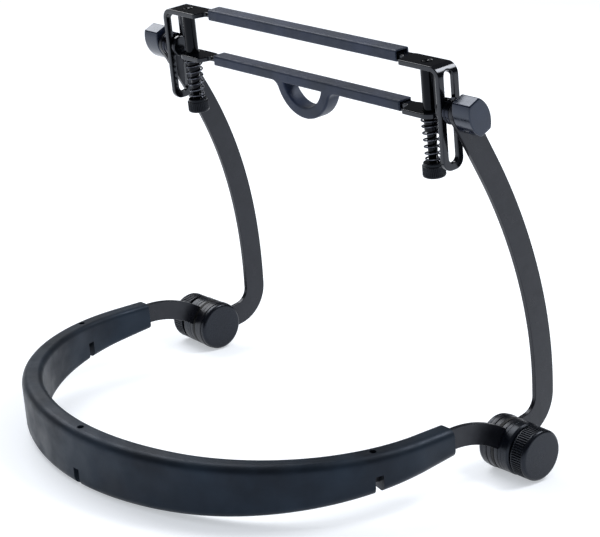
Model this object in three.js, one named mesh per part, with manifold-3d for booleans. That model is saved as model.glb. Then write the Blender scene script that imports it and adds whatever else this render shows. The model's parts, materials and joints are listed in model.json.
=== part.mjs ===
// Harmonica holder: a padded neck band, two friction hubs, two curved arms and a sprung clamp.
// Millimetres. X points to the wearer's right, Y away from the wearer and Z up.
import * as THREE from "three";
import Module from "manifold-3d";
import { mergeVertices } from "three/addons/utils/BufferGeometryUtils.js";

const wasm = await Module();
wasm.setup();

// Fits that many pieces share
const clearance = 0.3;
const overrun = 5;
const edgeBreak = 0.35;

// Steel straps of the arms and the clamp
const strapWidth = 12.5;
const strapThickness = 2.5;

// Neck strip, a narrower strap that runs through the band from hub to hub
const neckStripWidth = 10.6;
const neckStripThickness = 2.5;
const tongueStraight = 12.18;

// Neck band, moulded over the strip
const bandThickness = 10.6;
const bandBackHeight = 28.7;
const bandEndHeight = 14.2;
const bandEndRise = 19.9;
const bandSideRadius = 101;
const bandBackAngle = THREE.MathUtils.degToRad(22.7);
const bandStraight = 16.8;
const bandEndToHub = 45;
const bandEdgeRadius = 3.2;
const bandEndRadius = 2.4;
const pinHoleRadius = 1.4;
const notchWidth = 3.6;
const notchHeight = 6.5;
const pinHoleToHub = 87.7;

// Hub stack, counted outwards from its inner face
const hubInnerSpacing = 212.4;
const hubRadius = 12.4;
const eyeLip = 0.8;
const capLength = 2.75;
const capRimRadius = 1;
const spacerLength = 2.4;
const frictionDiscLength = 1.3;
const collarLength = 6.15;
const collarStep = 0.4;
const collarChamfer = 0.9;
const collarRecessDepth = 2.6;
const hubBoltRadius = 3;
const hubBoltHeadRadius = 6.5;
const hubBoltHeadLength = 1.4;
const discSpringRadius = 8;
const discSpringPlay = 1;
const discSpringThickness = 0.8;
const discSpringRise = 0.9;
const hubKnobOverhang = 0.2;
const hubKnobLength = 10;
const hubKnobRimRadius = 1.1;
const hubKnobRidges = 48;
const hubKnobRidgeDepth = 0.5;
const hubKnobEndWall = 2.2;
const hubKnobGroove = 1.8;
const hubKnobGrooveLength = 1.3;
const insertWall = 1.3;

// Arms, edgewise curves in planes that draw in towards the clamp
const armLeadAngle = THREE.MathUtils.degToRad(13.4);
const armLeadLength = 16.4;
const armHeelRadius = 13.75;
const armHeelLean = THREE.MathUtils.degToRad(4);
const armSweepRadius = 240;
const armTopLean = THREE.MathUtils.degToRad(34.3);
const armTopLength = 33.4;
const armToeIn = 3.1;

// Clamp bracket, one strap bent into two slotted side plates
const clampTilt = THREE.MathUtils.degToRad(7.5);
const bracketTopRise = 21.1;
const bendRadius = 5.5;
const plateCornerRadius = 5;
const slotWidth = 5.8;
const slotTopGap = 3.1;
const slotBottomDrop = 24.7;
const slotEndWall = 3.5;
const shoulderInset = 12.5;
const shoulderRun = 2;
const coreWidth = 5.6;
const coreStep = 0.65;

// Rubber sleeves of the two jaws
const sleeveEndGap = 4.5;
const sleeveFrontWall = 1.5;
const sleeveBackWall = 1.3;
const upperSleeveOver = 2.1;
const upperSleeveUnder = 1;
const lowerSleeveOver = 1.3;
const lowerSleeveUnder = 1.4;
const sleeveCornerRadius = 1.1;
const fingerRingInner = 14;
const fingerRingWall = 5.9;
const fingerRingFlare = 5;

// Sprung lower jaw on its two posts
const jawGap = 18.4;
const postInset = 13.5;
const postRadius = 3;
const postShoulderDrop = 12;
const postSpigotRadius = 2.2;
const postHeadRise = 0.25;
const rodRadius = 1.6;
const earOverPost = 6.4;
const springWireRadius = 0.45;
const springPlay = 0.45;
const springTurns = 7.5;
const springEndPitch = 1.45;
const nutRadius = 5.5;
const nutLength = 6.9;
const nutCollarLength = 1.3;
const nutTopDrop = 26.8;
const nutRidges = 22;
const nutRidgeDepth = 0.4;
const nutRimRadius = 0.8;

// Tilt pivots and their wing knobs
const pivotBoltRadius = 2.5;
const pivotHeadRadius = 5.4;
const pivotHeadLength = 2.2;
const pivotCollarRadius = 6.2;
const pivotCollarLength = 4.05;
const wingLean = THREE.MathUtils.degToRad(29.2);
const wingLength = 17;
const wingWidth = 12.6;
const wingEndWidth = 6.6;
const wingDepth = 11;
const wingEndWall = 2.4;
const wingEdgeRadius = 0.7;

// How finely round shapes are cut into flats
const hubSteps = 32;
const smallSteps = 20;
const holeSteps = 12;
const rimSteps = 2;
const arcSteps = 4;
const turnSteps = 8;
const wireSides = 5;

// Places worked out from the sizes above
const eyeRadius = hubRadius + eyeLip;
const hubHeight = eyeRadius;
const collarRadius = hubRadius - collarStep;
const collarRecessRadius = discSpringRadius + discSpringPlay;
const hubKnobRadius = hubRadius + hubKnobOverhang;
const hubKnobBossRadius = hubKnobRadius - hubKnobGroove;
const hubBoltSquare = 2 * hubBoltRadius;
const hubInner = hubInnerSpacing / 2;
const armPlane = hubInner + capLength + clearance + strapThickness / 2;
const spacerStart = armPlane + strapThickness / 2 + clearance;
const frictionDiscStart = spacerStart + spacerLength + clearance;
const stripPlane = frictionDiscStart + frictionDiscLength + clearance + neckStripThickness / 2;
const collarStart = stripPlane + neckStripThickness / 2 + clearance;
const hubKnobStart = collarStart + collarLength + clearance;
const upperSleeveBottom = bracketTopRise - strapThickness - upperSleeveUnder;
const jawBarTop = upperSleeveBottom - jawGap - lowerSleeveOver;
const lowerSleeveBottom = jawBarTop - strapThickness - lowerSleeveUnder;
const armTopPlane = armPlane - armToeIn;
const plateOuter = armTopPlane - strapThickness / 2 - pivotCollarLength - 2 * clearance;
const bracketWidth = 2 * plateOuter;
const bracketDrop = slotBottomDrop + slotEndWall;
const slotTopRise = bracketTopRise - slotTopGap;
const pivotSquare = slotWidth - 2 * clearance;
const postPlane = plateOuter - postInset;
const shoulderOuter = postPlane - shoulderInset;
const shoulderInner = shoulderOuter - shoulderRun;
const coreBack = strapWidth / 2 - coreStep;
const coreFront = coreBack - coreWidth;
const sleeveLength = 2 * (shoulderInner - sleeveEndGap);
const sleeveFront = coreFront - sleeveFrontWall;
const sleeveBack = coreBack + sleeveBackWall;

const steelBlack = new THREE.MeshStandardMaterial({ color: 0x26272b, roughness: 0.45, metalness: 0.6 });
const glossBlack = new THREE.MeshStandardMaterial({ color: 0x0d0e10, roughness: 0.25, metalness: 0.7 });
const brightSteel = new THREE.MeshStandardMaterial({ color: 0x9a9da3, roughness: 0.35, metalness: 1 });
const springSteel = new THREE.MeshStandardMaterial({ color: 0x2c2d31, roughness: 0.3, metalness: 0.9 });
const softBand = new THREE.MeshStandardMaterial({ color: 0x23262d, roughness: 0.6, metalness: 0 });
const sleeveRubber = new THREE.MeshStandardMaterial({ color: 0x353946, roughness: 0.7, metalness: 0 });
const knobPlastic = new THREE.MeshStandardMaterial({ color: 0x1c1e23, roughness: 0.45, metalness: 0 });
const fibre = new THREE.MeshStandardMaterial({ color: 0x4a4038, roughness: 0.85, metalness: 0 });
const brass = new THREE.MeshStandardMaterial({ color: 0xb08d4a, roughness: 0.4, metalness: 1 });

// A closed mesh from its corners and triangles, turned to face outwards
function closedGeometry(corners, triangles) {
  const positions = corners.flatMap((corner) => corner.toArray());
  let volume = 0;
  const normal = new THREE.Vector3();
  for (const [a, b, c] of triangles) {
    normal.crossVectors(corners[b], corners[c]);
    volume += corners[a].dot(normal);
  }
  const faces = volume < 0 ? triangles.map(([a, b, c]) => [a, c, b]) : triangles;
  const geometry = new THREE.BufferGeometry();
  geometry.setAttribute("position", new THREE.Float32BufferAttribute(positions, 3));
  geometry.setIndex(faces.flat());
  return geometry;
}

// The same closed shape as a solid that can be joined and cut
function solidOf(geometry) {
  const bare = geometry.clone();
  bare.deleteAttribute("normal");
  bare.deleteAttribute("uv");
  const merged = mergeVertices(bare);
  const index = merged.getIndex().array;
  const faces = [];
  for (let i = 0; i < index.length; i += 3) {
    const face = [index[i], index[i + 1], index[i + 2]];
    if (new Set(face).size === 3) faces.push(...face);
  }
  const vertProperties = new Float32Array(merged.getAttribute("position").array);
  return new wasm.Manifold(new wasm.Mesh({ numProp: 3, vertProperties, triVerts: new Uint32Array(faces) }));
}

function geometryOf(solid) {
  const { vertProperties, triVerts } = solid.getMesh();
  const geometry = new THREE.BufferGeometry();
  geometry.setAttribute("position", new THREE.Float32BufferAttribute(vertProperties, 3));
  geometry.setIndex([...triVerts]);
  geometry.computeVertexNormals();
  return geometry;
}

// A section carried along stations, each with a place and two directions
function sweep(stations, section) {
  const corners = [];
  const triangles = [];
  const sides = section.length;
  for (const { place, across, up, scale = 1 } of stations) {
    for (const [a, b] of section) {
      corners.push(place.clone().addScaledVector(across, a * scale).addScaledVector(up, b * scale));
    }
  }
  for (let i = 0; i + 1 < stations.length; i += 1) {
    for (let j = 0; j < sides; j += 1) {
      const next = (j + 1) % sides;
      const a = i * sides + j;
      const b = i * sides + next;
      triangles.push([a, b, b + sides], [a, b + sides, a + sides]);
    }
  }
  const last = (stations.length - 1) * sides;
  for (let j = 1; j + 1 < sides; j += 1) {
    triangles.push([0, j + 1, j], [last, last + j, last + j + 1]);
  }
  return closedGeometry(corners, triangles);
}

// A profile of radius and height turned about an axis, which then points along x or z
function turned(profile, steps) {
  const points = profile.map(([radius, height]) => new THREE.Vector2(radius, height));
  return new THREE.LatheGeometry(points, steps);
}

function turnedAlongX(profile, steps, side) {
  const geometry = turned(profile, steps);
  geometry.rotateZ(-side * Math.PI / 2);
  return closedAgain(geometry);
}

function turnedAlongZ(profile, steps) {
  const geometry = turned(profile, steps);
  geometry.rotateX(Math.PI / 2);
  return closedAgain(geometry);
}

// Merges a geometry's shared corners and turns it to face outwards
function closedAgain(geometry) {
  geometry.deleteAttribute("normal");
  geometry.deleteAttribute("uv");
  const merged = mergeVertices(geometry);
  const place = merged.getAttribute("position");
  const index = merged.getIndex().array;
  const corners = [];
  const triangles = [];
  for (let i = 0; i < place.count; i += 1) {
    corners.push(new THREE.Vector3().fromBufferAttribute(place, i));
  }
  for (let i = 0; i < index.length; i += 3) {
    const face = [index[i], index[i + 1], index[i + 2]];
    if (new Set(face).size === 3) triangles.push(face);
  }
  return closedGeometry(corners, triangles);
}

// The profile of a plain round rod between two heights
function rodProfile(radius, low, high) {
  return [[0, low], [radius, low], [radius, high], [0, high]];
}

// A closed ring profile between two radii and two heights
function ringProfile(inner, outer, low, high) {
  return [[inner, low], [outer, low], [outer, high], [inner, high], [inner, low]];
}

// Points of an arc, from one angle to another
function arcPoints(centreX, centreY, radius, from, to, steps = arcSteps) {
  const points = [];
  for (let i = 0; i <= steps; i += 1) {
    const angle = from + (to - from) * i / steps;
    points.push([centreX + radius * Math.cos(angle), centreY + radius * Math.sin(angle)]);
  }
  return points;
}

// A rectangle with round corners
function roundedRectangle(left, right, bottom, top, radius, steps = arcSteps) {
  const quarter = Math.PI / 2;
  return [
    ...arcPoints(right - radius, bottom + radius, radius, -quarter, 0, steps),
    ...arcPoints(right - radius, top - radius, radius, 0, quarter, steps),
    ...arcPoints(left + radius, top - radius, radius, quarter, 2 * quarter, steps),
    ...arcPoints(left + radius, bottom + radius, radius, 2 * quarter, 3 * quarter, steps),
  ];
}

// A rectangle with its four corners broken
function brokenRectangle(width, height) {
  return roundedRectangle(-width / 2, width / 2, -height / 2, height / 2, edgeBreak, 1);
}

// A straight prism over an outline: its depth runs along x, y or z
function prism(outline, depth, axis, start) {
  const shape = new THREE.Shape(outline.map(([a, b]) => new THREE.Vector2(a, b)));
  const geometry = new THREE.ExtrudeGeometry(shape, { depth, bevelEnabled: false });
  geometry.translate(0, 0, start);
  if (axis === "x") {
    geometry.rotateY(Math.PI / 2);
    geometry.rotateX(Math.PI / 2);
  }
  if (axis === "y") {
    geometry.rotateX(Math.PI / 2);
    geometry.scale(1, -1, 1);
  }
  return closedAgain(geometry);
}

// A ridged outline, with one peak and one valley for each ridge
function ridgedOutline(radius, ridges, depth) {
  const points = [];
  for (let i = 0; i < ridges * 2; i += 1) {
    const angle = Math.PI * i / ridges;
    const reach = i % 2 === 0 ? radius : radius - depth;
    points.push([reach * Math.cos(angle), reach * Math.sin(angle)]);
  }
  return points;
}

const holder = new THREE.Group();
const clamp = new THREE.Group();
holder.add(clamp);

function addPiece(name, geometry, material, group = holder) {
  if (!geometry.getAttribute("normal")) geometry.computeVertexNormals();
  const mesh = new THREE.Mesh(geometry, material);
  mesh.name = name;
  group.add(mesh);
  return mesh;
}

function atHub(geometry, along = 0) {
  return geometry.translate(along, 0, hubHeight);
}

// The neck's middle line lies in one plane that rises towards the hubs
const bandHalfWidth = stripPlane;
const bandSideCentre = bandHalfWidth - bandSideRadius;
const bandBackRadius = bandSideRadius + bandSideCentre / Math.sin(bandBackAngle);
const bandRise = bandEndRise + bandEndHeight / 2 - bandBackHeight / 2;
const sideCentreY = -bandEndToHub - bandStraight;
const backCentreY = sideCentreY + (bandBackRadius - bandSideRadius) * Math.cos(bandBackAngle);
const bandBackY = backCentreY - bandBackRadius;
const bandRun = -bandEndToHub - bandBackY;
const bandSlope = Math.atan2(bandRise, bandRun);
const xAxis = new THREE.Vector3(1, 0, 0);
const bandUp = new THREE.Vector3(0, 0, 1).applyAxisAngle(xAxis, bandSlope);

// Height of the middle line, and of the band itself, at a distance forward of the hubs
function bandMiddle(y) {
  return bandBackHeight / 2 + (y - bandBackY) * Math.tan(bandSlope);
}

function bandHeightAt(y) {
  return bandBackHeight + (bandEndHeight - bandBackHeight) * (y - bandBackY) / bandRun;
}

// The tongue's edgewise bend leaves the band in its line and meets the straight run to the hub
const endToHub = new THREE.Vector2(bandEndToHub, hubHeight - bandMiddle(-bandEndToHub));
const tongueDrop = endToHub.x * Math.sin(bandSlope) - endToHub.y * Math.cos(bandSlope);
const tongueBendRadius = (endToHub.lengthSq() - tongueStraight ** 2) / (2 * tongueDrop);

// Stations along the band's middle line, from the left end round the back to the right end
function bandStations() {
  const plan = [];
  const quarter = Math.PI / 2;
  const sideSteps = 10;
  const backSteps = 8;
  const sidePlace = (side, step) => {
    const angle = quarter - (quarter - bandBackAngle) * step / sideSteps;
    const reach = bandSideCentre + bandSideRadius * Math.sin(angle);
    return [side * reach, sideCentreY - bandSideRadius * Math.cos(angle), side * angle];
  };
  for (let i = 0; i < sideSteps; i += 1) plan.push(sidePlace(-1, i));
  for (let i = 0; i <= backSteps; i += 1) {
    const angle = -bandBackAngle + 2 * bandBackAngle * i / backSteps;
    plan.push([bandBackRadius * Math.sin(angle), backCentreY - bandBackRadius * Math.cos(angle), angle]);
  }
  for (let i = sideSteps - 1; i >= 0; i -= 1) plan.push(sidePlace(1, i));
  const first = [-bandHalfWidth, -bandEndToHub, -quarter];
  const last = [bandHalfWidth, -bandEndToHub, quarter];
  return [first, ...plan, last].map(([x, y, angle]) => ({
    place: new THREE.Vector3(x, y, bandMiddle(y)),
    across: new THREE.Vector3(Math.sin(angle), -Math.cos(angle), 0).applyAxisAngle(xAxis, bandSlope),
    up: bandUp,
  }));
}

// The tongue in front of the band: an edgewise bend, then straight to the hub's centre
function tongueStations(side) {
  const start = new THREE.Vector2(-bandEndToHub, bandMiddle(-bandEndToHub));
  const centre = new THREE.Vector2(
    start.x + tongueBendRadius * Math.sin(bandSlope),
    start.y - tongueBendRadius * Math.cos(bandSlope),
  );
  const toHub = new THREE.Vector2(0, hubHeight).sub(centre);
  const from = Math.PI / 2 + bandSlope;
  const to = toHub.angle() + Math.acos(tongueBendRadius / toHub.length());
  const line = arcPoints(centre.x, centre.y, tongueBendRadius, from, to, 2 * arcSteps).slice(1);
  const stations = line.map(([y, z], i) => {
    const angle = from + (to - from) * (i + 1) / line.length;
    return { y, z, angle };
  });
  stations.push({ y: 0, z: hubHeight, angle: to });
  return stations.map(({ y, z, angle }) => ({
    place: new THREE.Vector3(side * stripPlane, y, z),
    across: new THREE.Vector3(side, 0, 0),
    up: new THREE.Vector3(0, Math.cos(angle), Math.sin(angle)),
  }));
}

function hubEye(plane, side, radius, thickness) {
  const half = thickness / 2;
  const profile = [
    [0, -half], [radius - edgeBreak, -half], [radius, -half + edgeBreak],
    [radius, half - edgeBreak], [radius - edgeBreak, half], [0, half],
  ];
  return solidOf(atHub(turnedAlongX(profile, hubSteps, side), side * plane));
}

function roundCut(radius, plane, side, y, z) {
  const reach = overrun + strapThickness;
  const cut = turnedAlongX(rodProfile(radius, -reach, reach), smallSteps, side);
  return solidOf(cut.translate(side * plane, y, z));
}

function makeNeckStrip() {
  const left = tongueStations(-1).reverse();
  const stations = [...left, ...bandStations(), ...tongueStations(1)];
  const strip = sweep(stations, brokenRectangle(neckStripThickness, neckStripWidth));
  let solid = solidOf(strip);
  for (const side of [-1, 1]) {
    solid = solid.add(hubEye(stripPlane, side, hubRadius, neckStripThickness));
    solid = solid.subtract(roundCut(hubBoltRadius + clearance, stripPlane, side, 0, hubHeight));
  }
  return geometryOf(solid);
}

// The band's skin: a tapering section with round edges, and rounded ends
function makeNeckBand() {
  const stations = bandStations();
  const skin = [];
  const endSteps = 3;
  const addEnd = (station, direction) => {
    const ring = [];
    for (let i = 0; i <= endSteps; i += 1) {
      const angle = Math.PI / 2 * i / endSteps;
      const inset = bandEndRadius * (1 - Math.sin(angle));
      const back = bandEndRadius * (1 - Math.cos(angle));
      const place = station.place.clone();
      place.y += back * direction;
      place.z += back * direction * Math.tan(bandSlope);
      ring.push({ ...station, place, inset });
    }
    return ring;
  };
  skin.push(...addEnd(stations[0], -1));
  skin.push(...stations.slice(1, -1).map((station) => ({ ...station, inset: 0 })));
  skin.push(...addEnd(stations[stations.length - 1], -1).reverse());
  const rings = skin.map(({ place, across, up, inset }) => {
    const high = bandHeightAt(place.y) / 2 - inset;
    const wide = bandThickness / 2 - inset;
    const section = roundedRectangle(-wide, wide, -high, high, bandEdgeRadius - inset / 2, 3);
    return section.map(([a, b]) => place.clone().addScaledVector(across, a).addScaledVector(up, b));
  });
  const solid = solidOf(loft(rings));
  const boreSection = [
    [-1, -1], [1, -1], [1, 1], [-1, 1],
  ].map(([a, b]) => [a * (neckStripThickness / 2 + clearance), b * (neckStripWidth / 2 + clearance)]);
  const bore = stations.map((station) => ({ ...station, place: station.place.clone() }));
  bore[0].place.y += overrun;
  bore[0].place.z += overrun * Math.tan(bandSlope);
  bore[bore.length - 1].place.y += overrun;
  bore[bore.length - 1].place.z += overrun * Math.tan(bandSlope);
  let band = solid.subtract(solidOf(sweep(bore, boreSection)));
  for (const [x, y, angle] of pinHolePlaces()) {
    const top = bandMiddle(y) + bandHeightAt(y) / 2;
    const depth = bandHeightAt(y) / 2;
    const hole = turnedAlongZ(rodProfile(pinHoleRadius, -depth, overrun), holeSteps);
    band = band.subtract(solidOf(hole.translate(x, y, top)));
    const notch = new THREE.BoxGeometry(notchWidth, bandThickness + overrun, notchHeight + overrun);
    notch.rotateZ(angle);
    const bottom = bandMiddle(y) - bandHeightAt(y) / 2;
    notch.translate(x, y, bottom + (notchHeight - overrun) / 2);
    band = band.subtract(solidOf(notch));
  }
  return geometryOf(band);
}

// Rings of equal count joined into one closed skin
function loft(rings) {
  const sides = rings[0].length;
  const corners = rings.flat();
  const triangles = [];
  for (let i = 0; i + 1 < rings.length; i += 1) {
    for (let j = 0; j < sides; j += 1) {
      const next = (j + 1) % sides;
      const a = i * sides + j;
      const b = i * sides + next;
      triangles.push([a, b, b + sides], [a, b + sides, a + sides]);
    }
  }
  const last = (rings.length - 1) * sides;
  for (let j = 1; j + 1 < sides; j += 1) {
    triangles.push([0, j + 1, j], [last, last + j, last + j + 1]);
  }
  return closedGeometry(corners, triangles);
}

// Where the moulding pins held the strip: two sides and the middle of the back
function pinHolePlaces() {
  const sideAngle = Math.acos((pinHoleToHub + sideCentreY) / bandSideRadius);
  const sideX = bandSideCentre + bandSideRadius * Math.sin(sideAngle);
  return [
    [-sideX, -pinHoleToHub, -sideAngle],
    [0, bandBackY, 0],
    [sideX, -pinHoleToHub, sideAngle],
  ];
}

// The arm's middle line in its own plane, from the hub's centre to the tilt pivot
function armLine() {
  const points = [{ y: 0, z: hubHeight, angle: armLeadAngle }];
  // Appends an arc that begins straight ahead of a point and turns up and back
  const addArc = (start, radius, toAngle, steps) => {
    const centreY = start.y - radius * Math.sin(start.angle);
    const centreZ = start.z + radius * Math.cos(start.angle);
    for (let i = 1; i <= steps; i += 1) {
      const angle = start.angle + (toAngle - start.angle) * i / steps;
      points.push({ y: centreY + radius * Math.sin(angle), z: centreZ - radius * Math.cos(angle), angle });
    }
  };
  const addStraight = (length) => {
    const { y, z, angle } = points[points.length - 1];
    points.push({ y: y + length * Math.cos(angle), z: z + length * Math.sin(angle), angle });
  };
  addStraight(armLeadLength);
  const heelEnd = Math.PI / 2 + armHeelLean;
  const heelSteps = 8;
  addArc(points[points.length - 1], armHeelRadius, heelEnd, heelSteps);
  const sweepEnd = Math.PI / 2 + armTopLean;
  const sweepSteps = 10;
  addArc(points[points.length - 1], armSweepRadius, sweepEnd, sweepSteps);
  addStraight(armTopLength);
  return points;
}

const armPoints = armLine();
const pivot = armPoints[armPoints.length - 1];
const armSweepFoot = hubHeight + eyeRadius + strapWidth;
const armSweepHead = armPoints[armPoints.length - 2].z;

// How far the arm has drawn in at a height, easing in and out
function toeInAt(z) {
  const share = THREE.MathUtils.clamp((z - armSweepFoot) / (armSweepHead - armSweepFoot), 0, 1);
  return armToeIn * share * share * (3 - 2 * share);
}

function makeArm(side) {
  const stations = armPoints.map(({ y, z, angle }) => ({
    place: new THREE.Vector3(side * (armPlane - toeInAt(z)), y, z),
    across: new THREE.Vector3(side, 0, 0),
    up: new THREE.Vector3(0, -Math.sin(angle), Math.cos(angle)),
  }));
  const bar = solidOf(sweep(stations, brokenRectangle(strapThickness, strapWidth)));
  const half = strapThickness / 2;
  const topRadius = strapWidth / 2;
  const topProfile = [
    [0, -half], [topRadius - edgeBreak, -half], [topRadius, edgeBreak - half],
    [topRadius, half - edgeBreak], [topRadius - edgeBreak, half], [0, half],
  ];
  const top = turnedAlongX(topProfile, smallSteps, side).translate(side * armTopPlane, pivot.y, pivot.z);
  const squareHole = hubBoltSquare + 2 * clearance;
  const square = new THREE.BoxGeometry(overrun + strapThickness, squareHole, squareHole);
  const solid = bar
    .add(hubEye(armPlane, side, eyeRadius, strapThickness))
    .add(solidOf(top))
    .subtract(solidOf(atHub(square, side * armPlane)))
    .subtract(roundCut(pivotBoltRadius + clearance, armTopPlane, side, pivot.y, pivot.z));
  return geometryOf(solid);
}

// Hub pieces, each turned about the hub axis and placed outwards from its start
function makeHubCap(side) {
  const pocketRadius = hubBoltHeadRadius + clearance;
  const pocketDepth = hubBoltHeadLength;
  const profile = [
    [0, 0],
    ...arcPoints(hubRadius - capRimRadius, capRimRadius, capRimRadius, -Math.PI / 2, 0, rimSteps),
    [hubRadius, capLength], [pocketRadius, capLength],
    [pocketRadius, capLength - pocketDepth], [0, capLength - pocketDepth],
  ];
  return atHub(turnedAlongX(profile, hubSteps, side), side * hubInner);
}

function makeHubBolt(side) {
  const headStart = hubInner + capLength - hubBoltHeadLength + clearance;
  const headEnd = armPlane - strapThickness / 2 - clearance;
  const shankEnd = hubKnobStart + hubKnobLength - hubKnobEndWall - clearance;
  const profile = [
    [0, headStart], [hubBoltHeadRadius - clearance, headStart], [hubBoltHeadRadius, headStart + clearance],
    [hubBoltHeadRadius, headEnd], [hubBoltRadius, headEnd],
    [hubBoltRadius, shankEnd - edgeBreak], [hubBoltRadius - edgeBreak, shankEnd], [0, shankEnd],
  ];
  const round = solidOf(atHub(turnedAlongX(profile, smallSteps, side)));
  const neckLength = strapThickness + 2 * clearance;
  const neck = new THREE.BoxGeometry(neckLength, hubBoltSquare, hubBoltSquare);
  const neckPlace = side * (headEnd + neckLength / 2 - edgeBreak / 2);
  return geometryOf(round.add(solidOf(atHub(neck, neckPlace))));
}

function makeHubRing(start, length, side) {
  const inner = hubBoltRadius + 2 * clearance;
  return atHub(turnedAlongX(ringProfile(inner, hubRadius, start, start + length), hubSteps, side));
}

function makeHubCollar(side) {
  const inner = hubBoltRadius + clearance;
  const end = collarStart + collarLength;
  const floor = end - collarRecessDepth;
  const profile = [
    [inner, collarStart], [collarRadius, collarStart], [collarRadius, end - collarChamfer],
    [collarRadius - collarChamfer, end], [collarRecessRadius, end], [collarRecessRadius, floor],
    [inner, floor], [inner, collarStart],
  ];
  return atHub(turnedAlongX(profile, hubSteps, side));
}

// A coned disc spring that the knob squeezes in the collar's recess
function makeDiscSpring(side) {
  const low = collarStart + collarLength - collarRecessDepth + clearance;
  const inner = hubBoltRadius + clearance;
  const profile = [
    [inner, low + discSpringRise], [discSpringRadius, low],
    [discSpringRadius, low + discSpringThickness], [inner, low + discSpringRise + discSpringThickness],
    [inner, low + discSpringRise],
  ];
  return atHub(turnedAlongX(profile, smallSteps, side));
}

function insertRadius(boltRadius) {
  return boltRadius + clearance + insertWall;
}

function makeHubKnob(side) {
  const bore = insertRadius(hubBoltRadius) + clearance;
  const boreDepth = hubKnobLength - hubKnobEndWall;
  const round = hubKnobRimRadius;
  const rim = arcPoints(hubKnobRadius - round, hubKnobLength - round, round, 0, Math.PI / 2, rimSteps);
  const body = solidOf(turnedAlongX([
    [0, 0], [hubKnobBossRadius, 0], [hubKnobBossRadius, hubKnobGrooveLength],
    [hubKnobRadius, hubKnobGrooveLength], ...rim, [0, hubKnobLength],
  ], hubSteps, side));
  const ridges = ridgedOutline(hubKnobRadius, hubKnobRidges, hubKnobRidgeDepth);
  const ridged = prism(ridges, hubKnobLength + overrun, "x", 0);
  if (side < 0) ridged.rotateZ(Math.PI);
  const pocket = solidOf(turnedAlongX(rodProfile(bore, -overrun, boreDepth), smallSteps, side));
  const solid = body.intersect(solidOf(ridged.translate(-side * overrun / 2, 0, 0))).subtract(pocket);
  return atHub(geometryOf(solid), side * hubKnobStart);
}

function makeHubKnobInsert(side) {
  const end = hubKnobStart + hubKnobLength - hubKnobEndWall - clearance;
  const profile = ringProfile(hubBoltRadius + clearance, insertRadius(hubBoltRadius), hubKnobStart, end);
  return atHub(turnedAlongX(profile, smallSteps, side));
}

// The plan of a jaw bar: full width at its ends, a narrow core under the sleeve
function jawPlan(endReach) {
  const half = strapWidth / 2;
  return [
    [-endReach, -half], [-shoulderOuter, -half], [-shoulderInner, coreFront],
    [shoulderInner, coreFront], [shoulderOuter, -half], [endReach, -half],
    [endReach, half], [shoulderOuter, half], [shoulderInner, coreBack],
    [-shoulderInner, coreBack], [-shoulderOuter, half], [-endReach, half],
  ];
}

// Outline of the bent strap, seen along its width
function bracketOutline() {
  const outer = plateOuter;
  const top = bracketTopRise;
  const inner = bendRadius - strapThickness;
  const quarter = Math.PI / 2;
  const bottom = -bracketDrop;
  return [
    [outer, bottom],
    ...arcPoints(outer - bendRadius, top - bendRadius, bendRadius, 0, quarter),
    ...arcPoints(bendRadius - outer, top - bendRadius, bendRadius, quarter, 2 * quarter),
    [-outer, bottom], [strapThickness - outer, bottom],
    ...arcPoints(bendRadius - outer, top - bendRadius, inner, 2 * quarter, quarter),
    ...arcPoints(outer - bendRadius, top - bendRadius, inner, quarter, 0),
    [outer - strapThickness, bottom],
  ];
}

// A straight slot with two round ends
function slotOutline() {
  const radius = slotWidth / 2;
  return [
    ...arcPoints(0, slotTopRise - radius, radius, 0, Math.PI, 2 * arcSteps),
    ...arcPoints(0, radius - slotBottomDrop, radius, Math.PI, 2 * Math.PI, 2 * arcSteps),
  ];
}

function makeBracket() {
  const half = strapWidth / 2;
  const strap = solidOf(prism(bracketOutline(), strapWidth, "y", -half));
  const planDepth = bracketTopRise + bracketDrop + 2 * overrun;
  const plan = solidOf(prism(jawPlan(plateOuter + overrun), planDepth, "z", -bracketDrop - overrun));
  const ends = roundedRectangle(-half, half, -bracketDrop, bracketTopRise + overrun, plateCornerRadius);
  const sides = solidOf(prism(ends, bracketWidth + 2 * overrun, "x", -plateOuter - overrun));
  const slots = solidOf(prism(slotOutline(), bracketWidth + 2 * overrun, "x", -plateOuter - overrun));
  let solid = strap.intersect(plan).intersect(sides).subtract(slots);
  for (const side of [-1, 1]) {
    const hole = turnedAlongZ(rodProfile(postSpigotRadius + clearance, -overrun, overrun), smallSteps);
    solid = solid.subtract(solidOf(hole.translate(side * postPlane, 0, bracketTopRise)));
  }
  return geometryOf(solid);
}

// A sleeve before its bore: a bar of rubber with round edges
function sleeveSkin(bottom, top) {
  const section = roundedRectangle(sleeveFront, sleeveBack, bottom, top, sleeveCornerRadius, 3);
  return solidOf(prism(section, sleeveLength, "x", -sleeveLength / 2));
}

function sleeveBore(barTop) {
  const bottom = barTop - strapThickness - clearance;
  const outline = [
    [coreFront - clearance, bottom], [coreBack + clearance, bottom],
    [coreBack + clearance, barTop + clearance], [coreFront - clearance, barTop + clearance],
  ];
  return solidOf(prism(outline, sleeveLength + 2 * overrun, "x", -sleeveLength / 2 - overrun));
}

function makeUpperSleeve() {
  const skin = sleeveSkin(upperSleeveBottom, bracketTopRise + upperSleeveOver);
  return geometryOf(skin.subtract(sleeveBore(bracketTopRise)));
}

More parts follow.
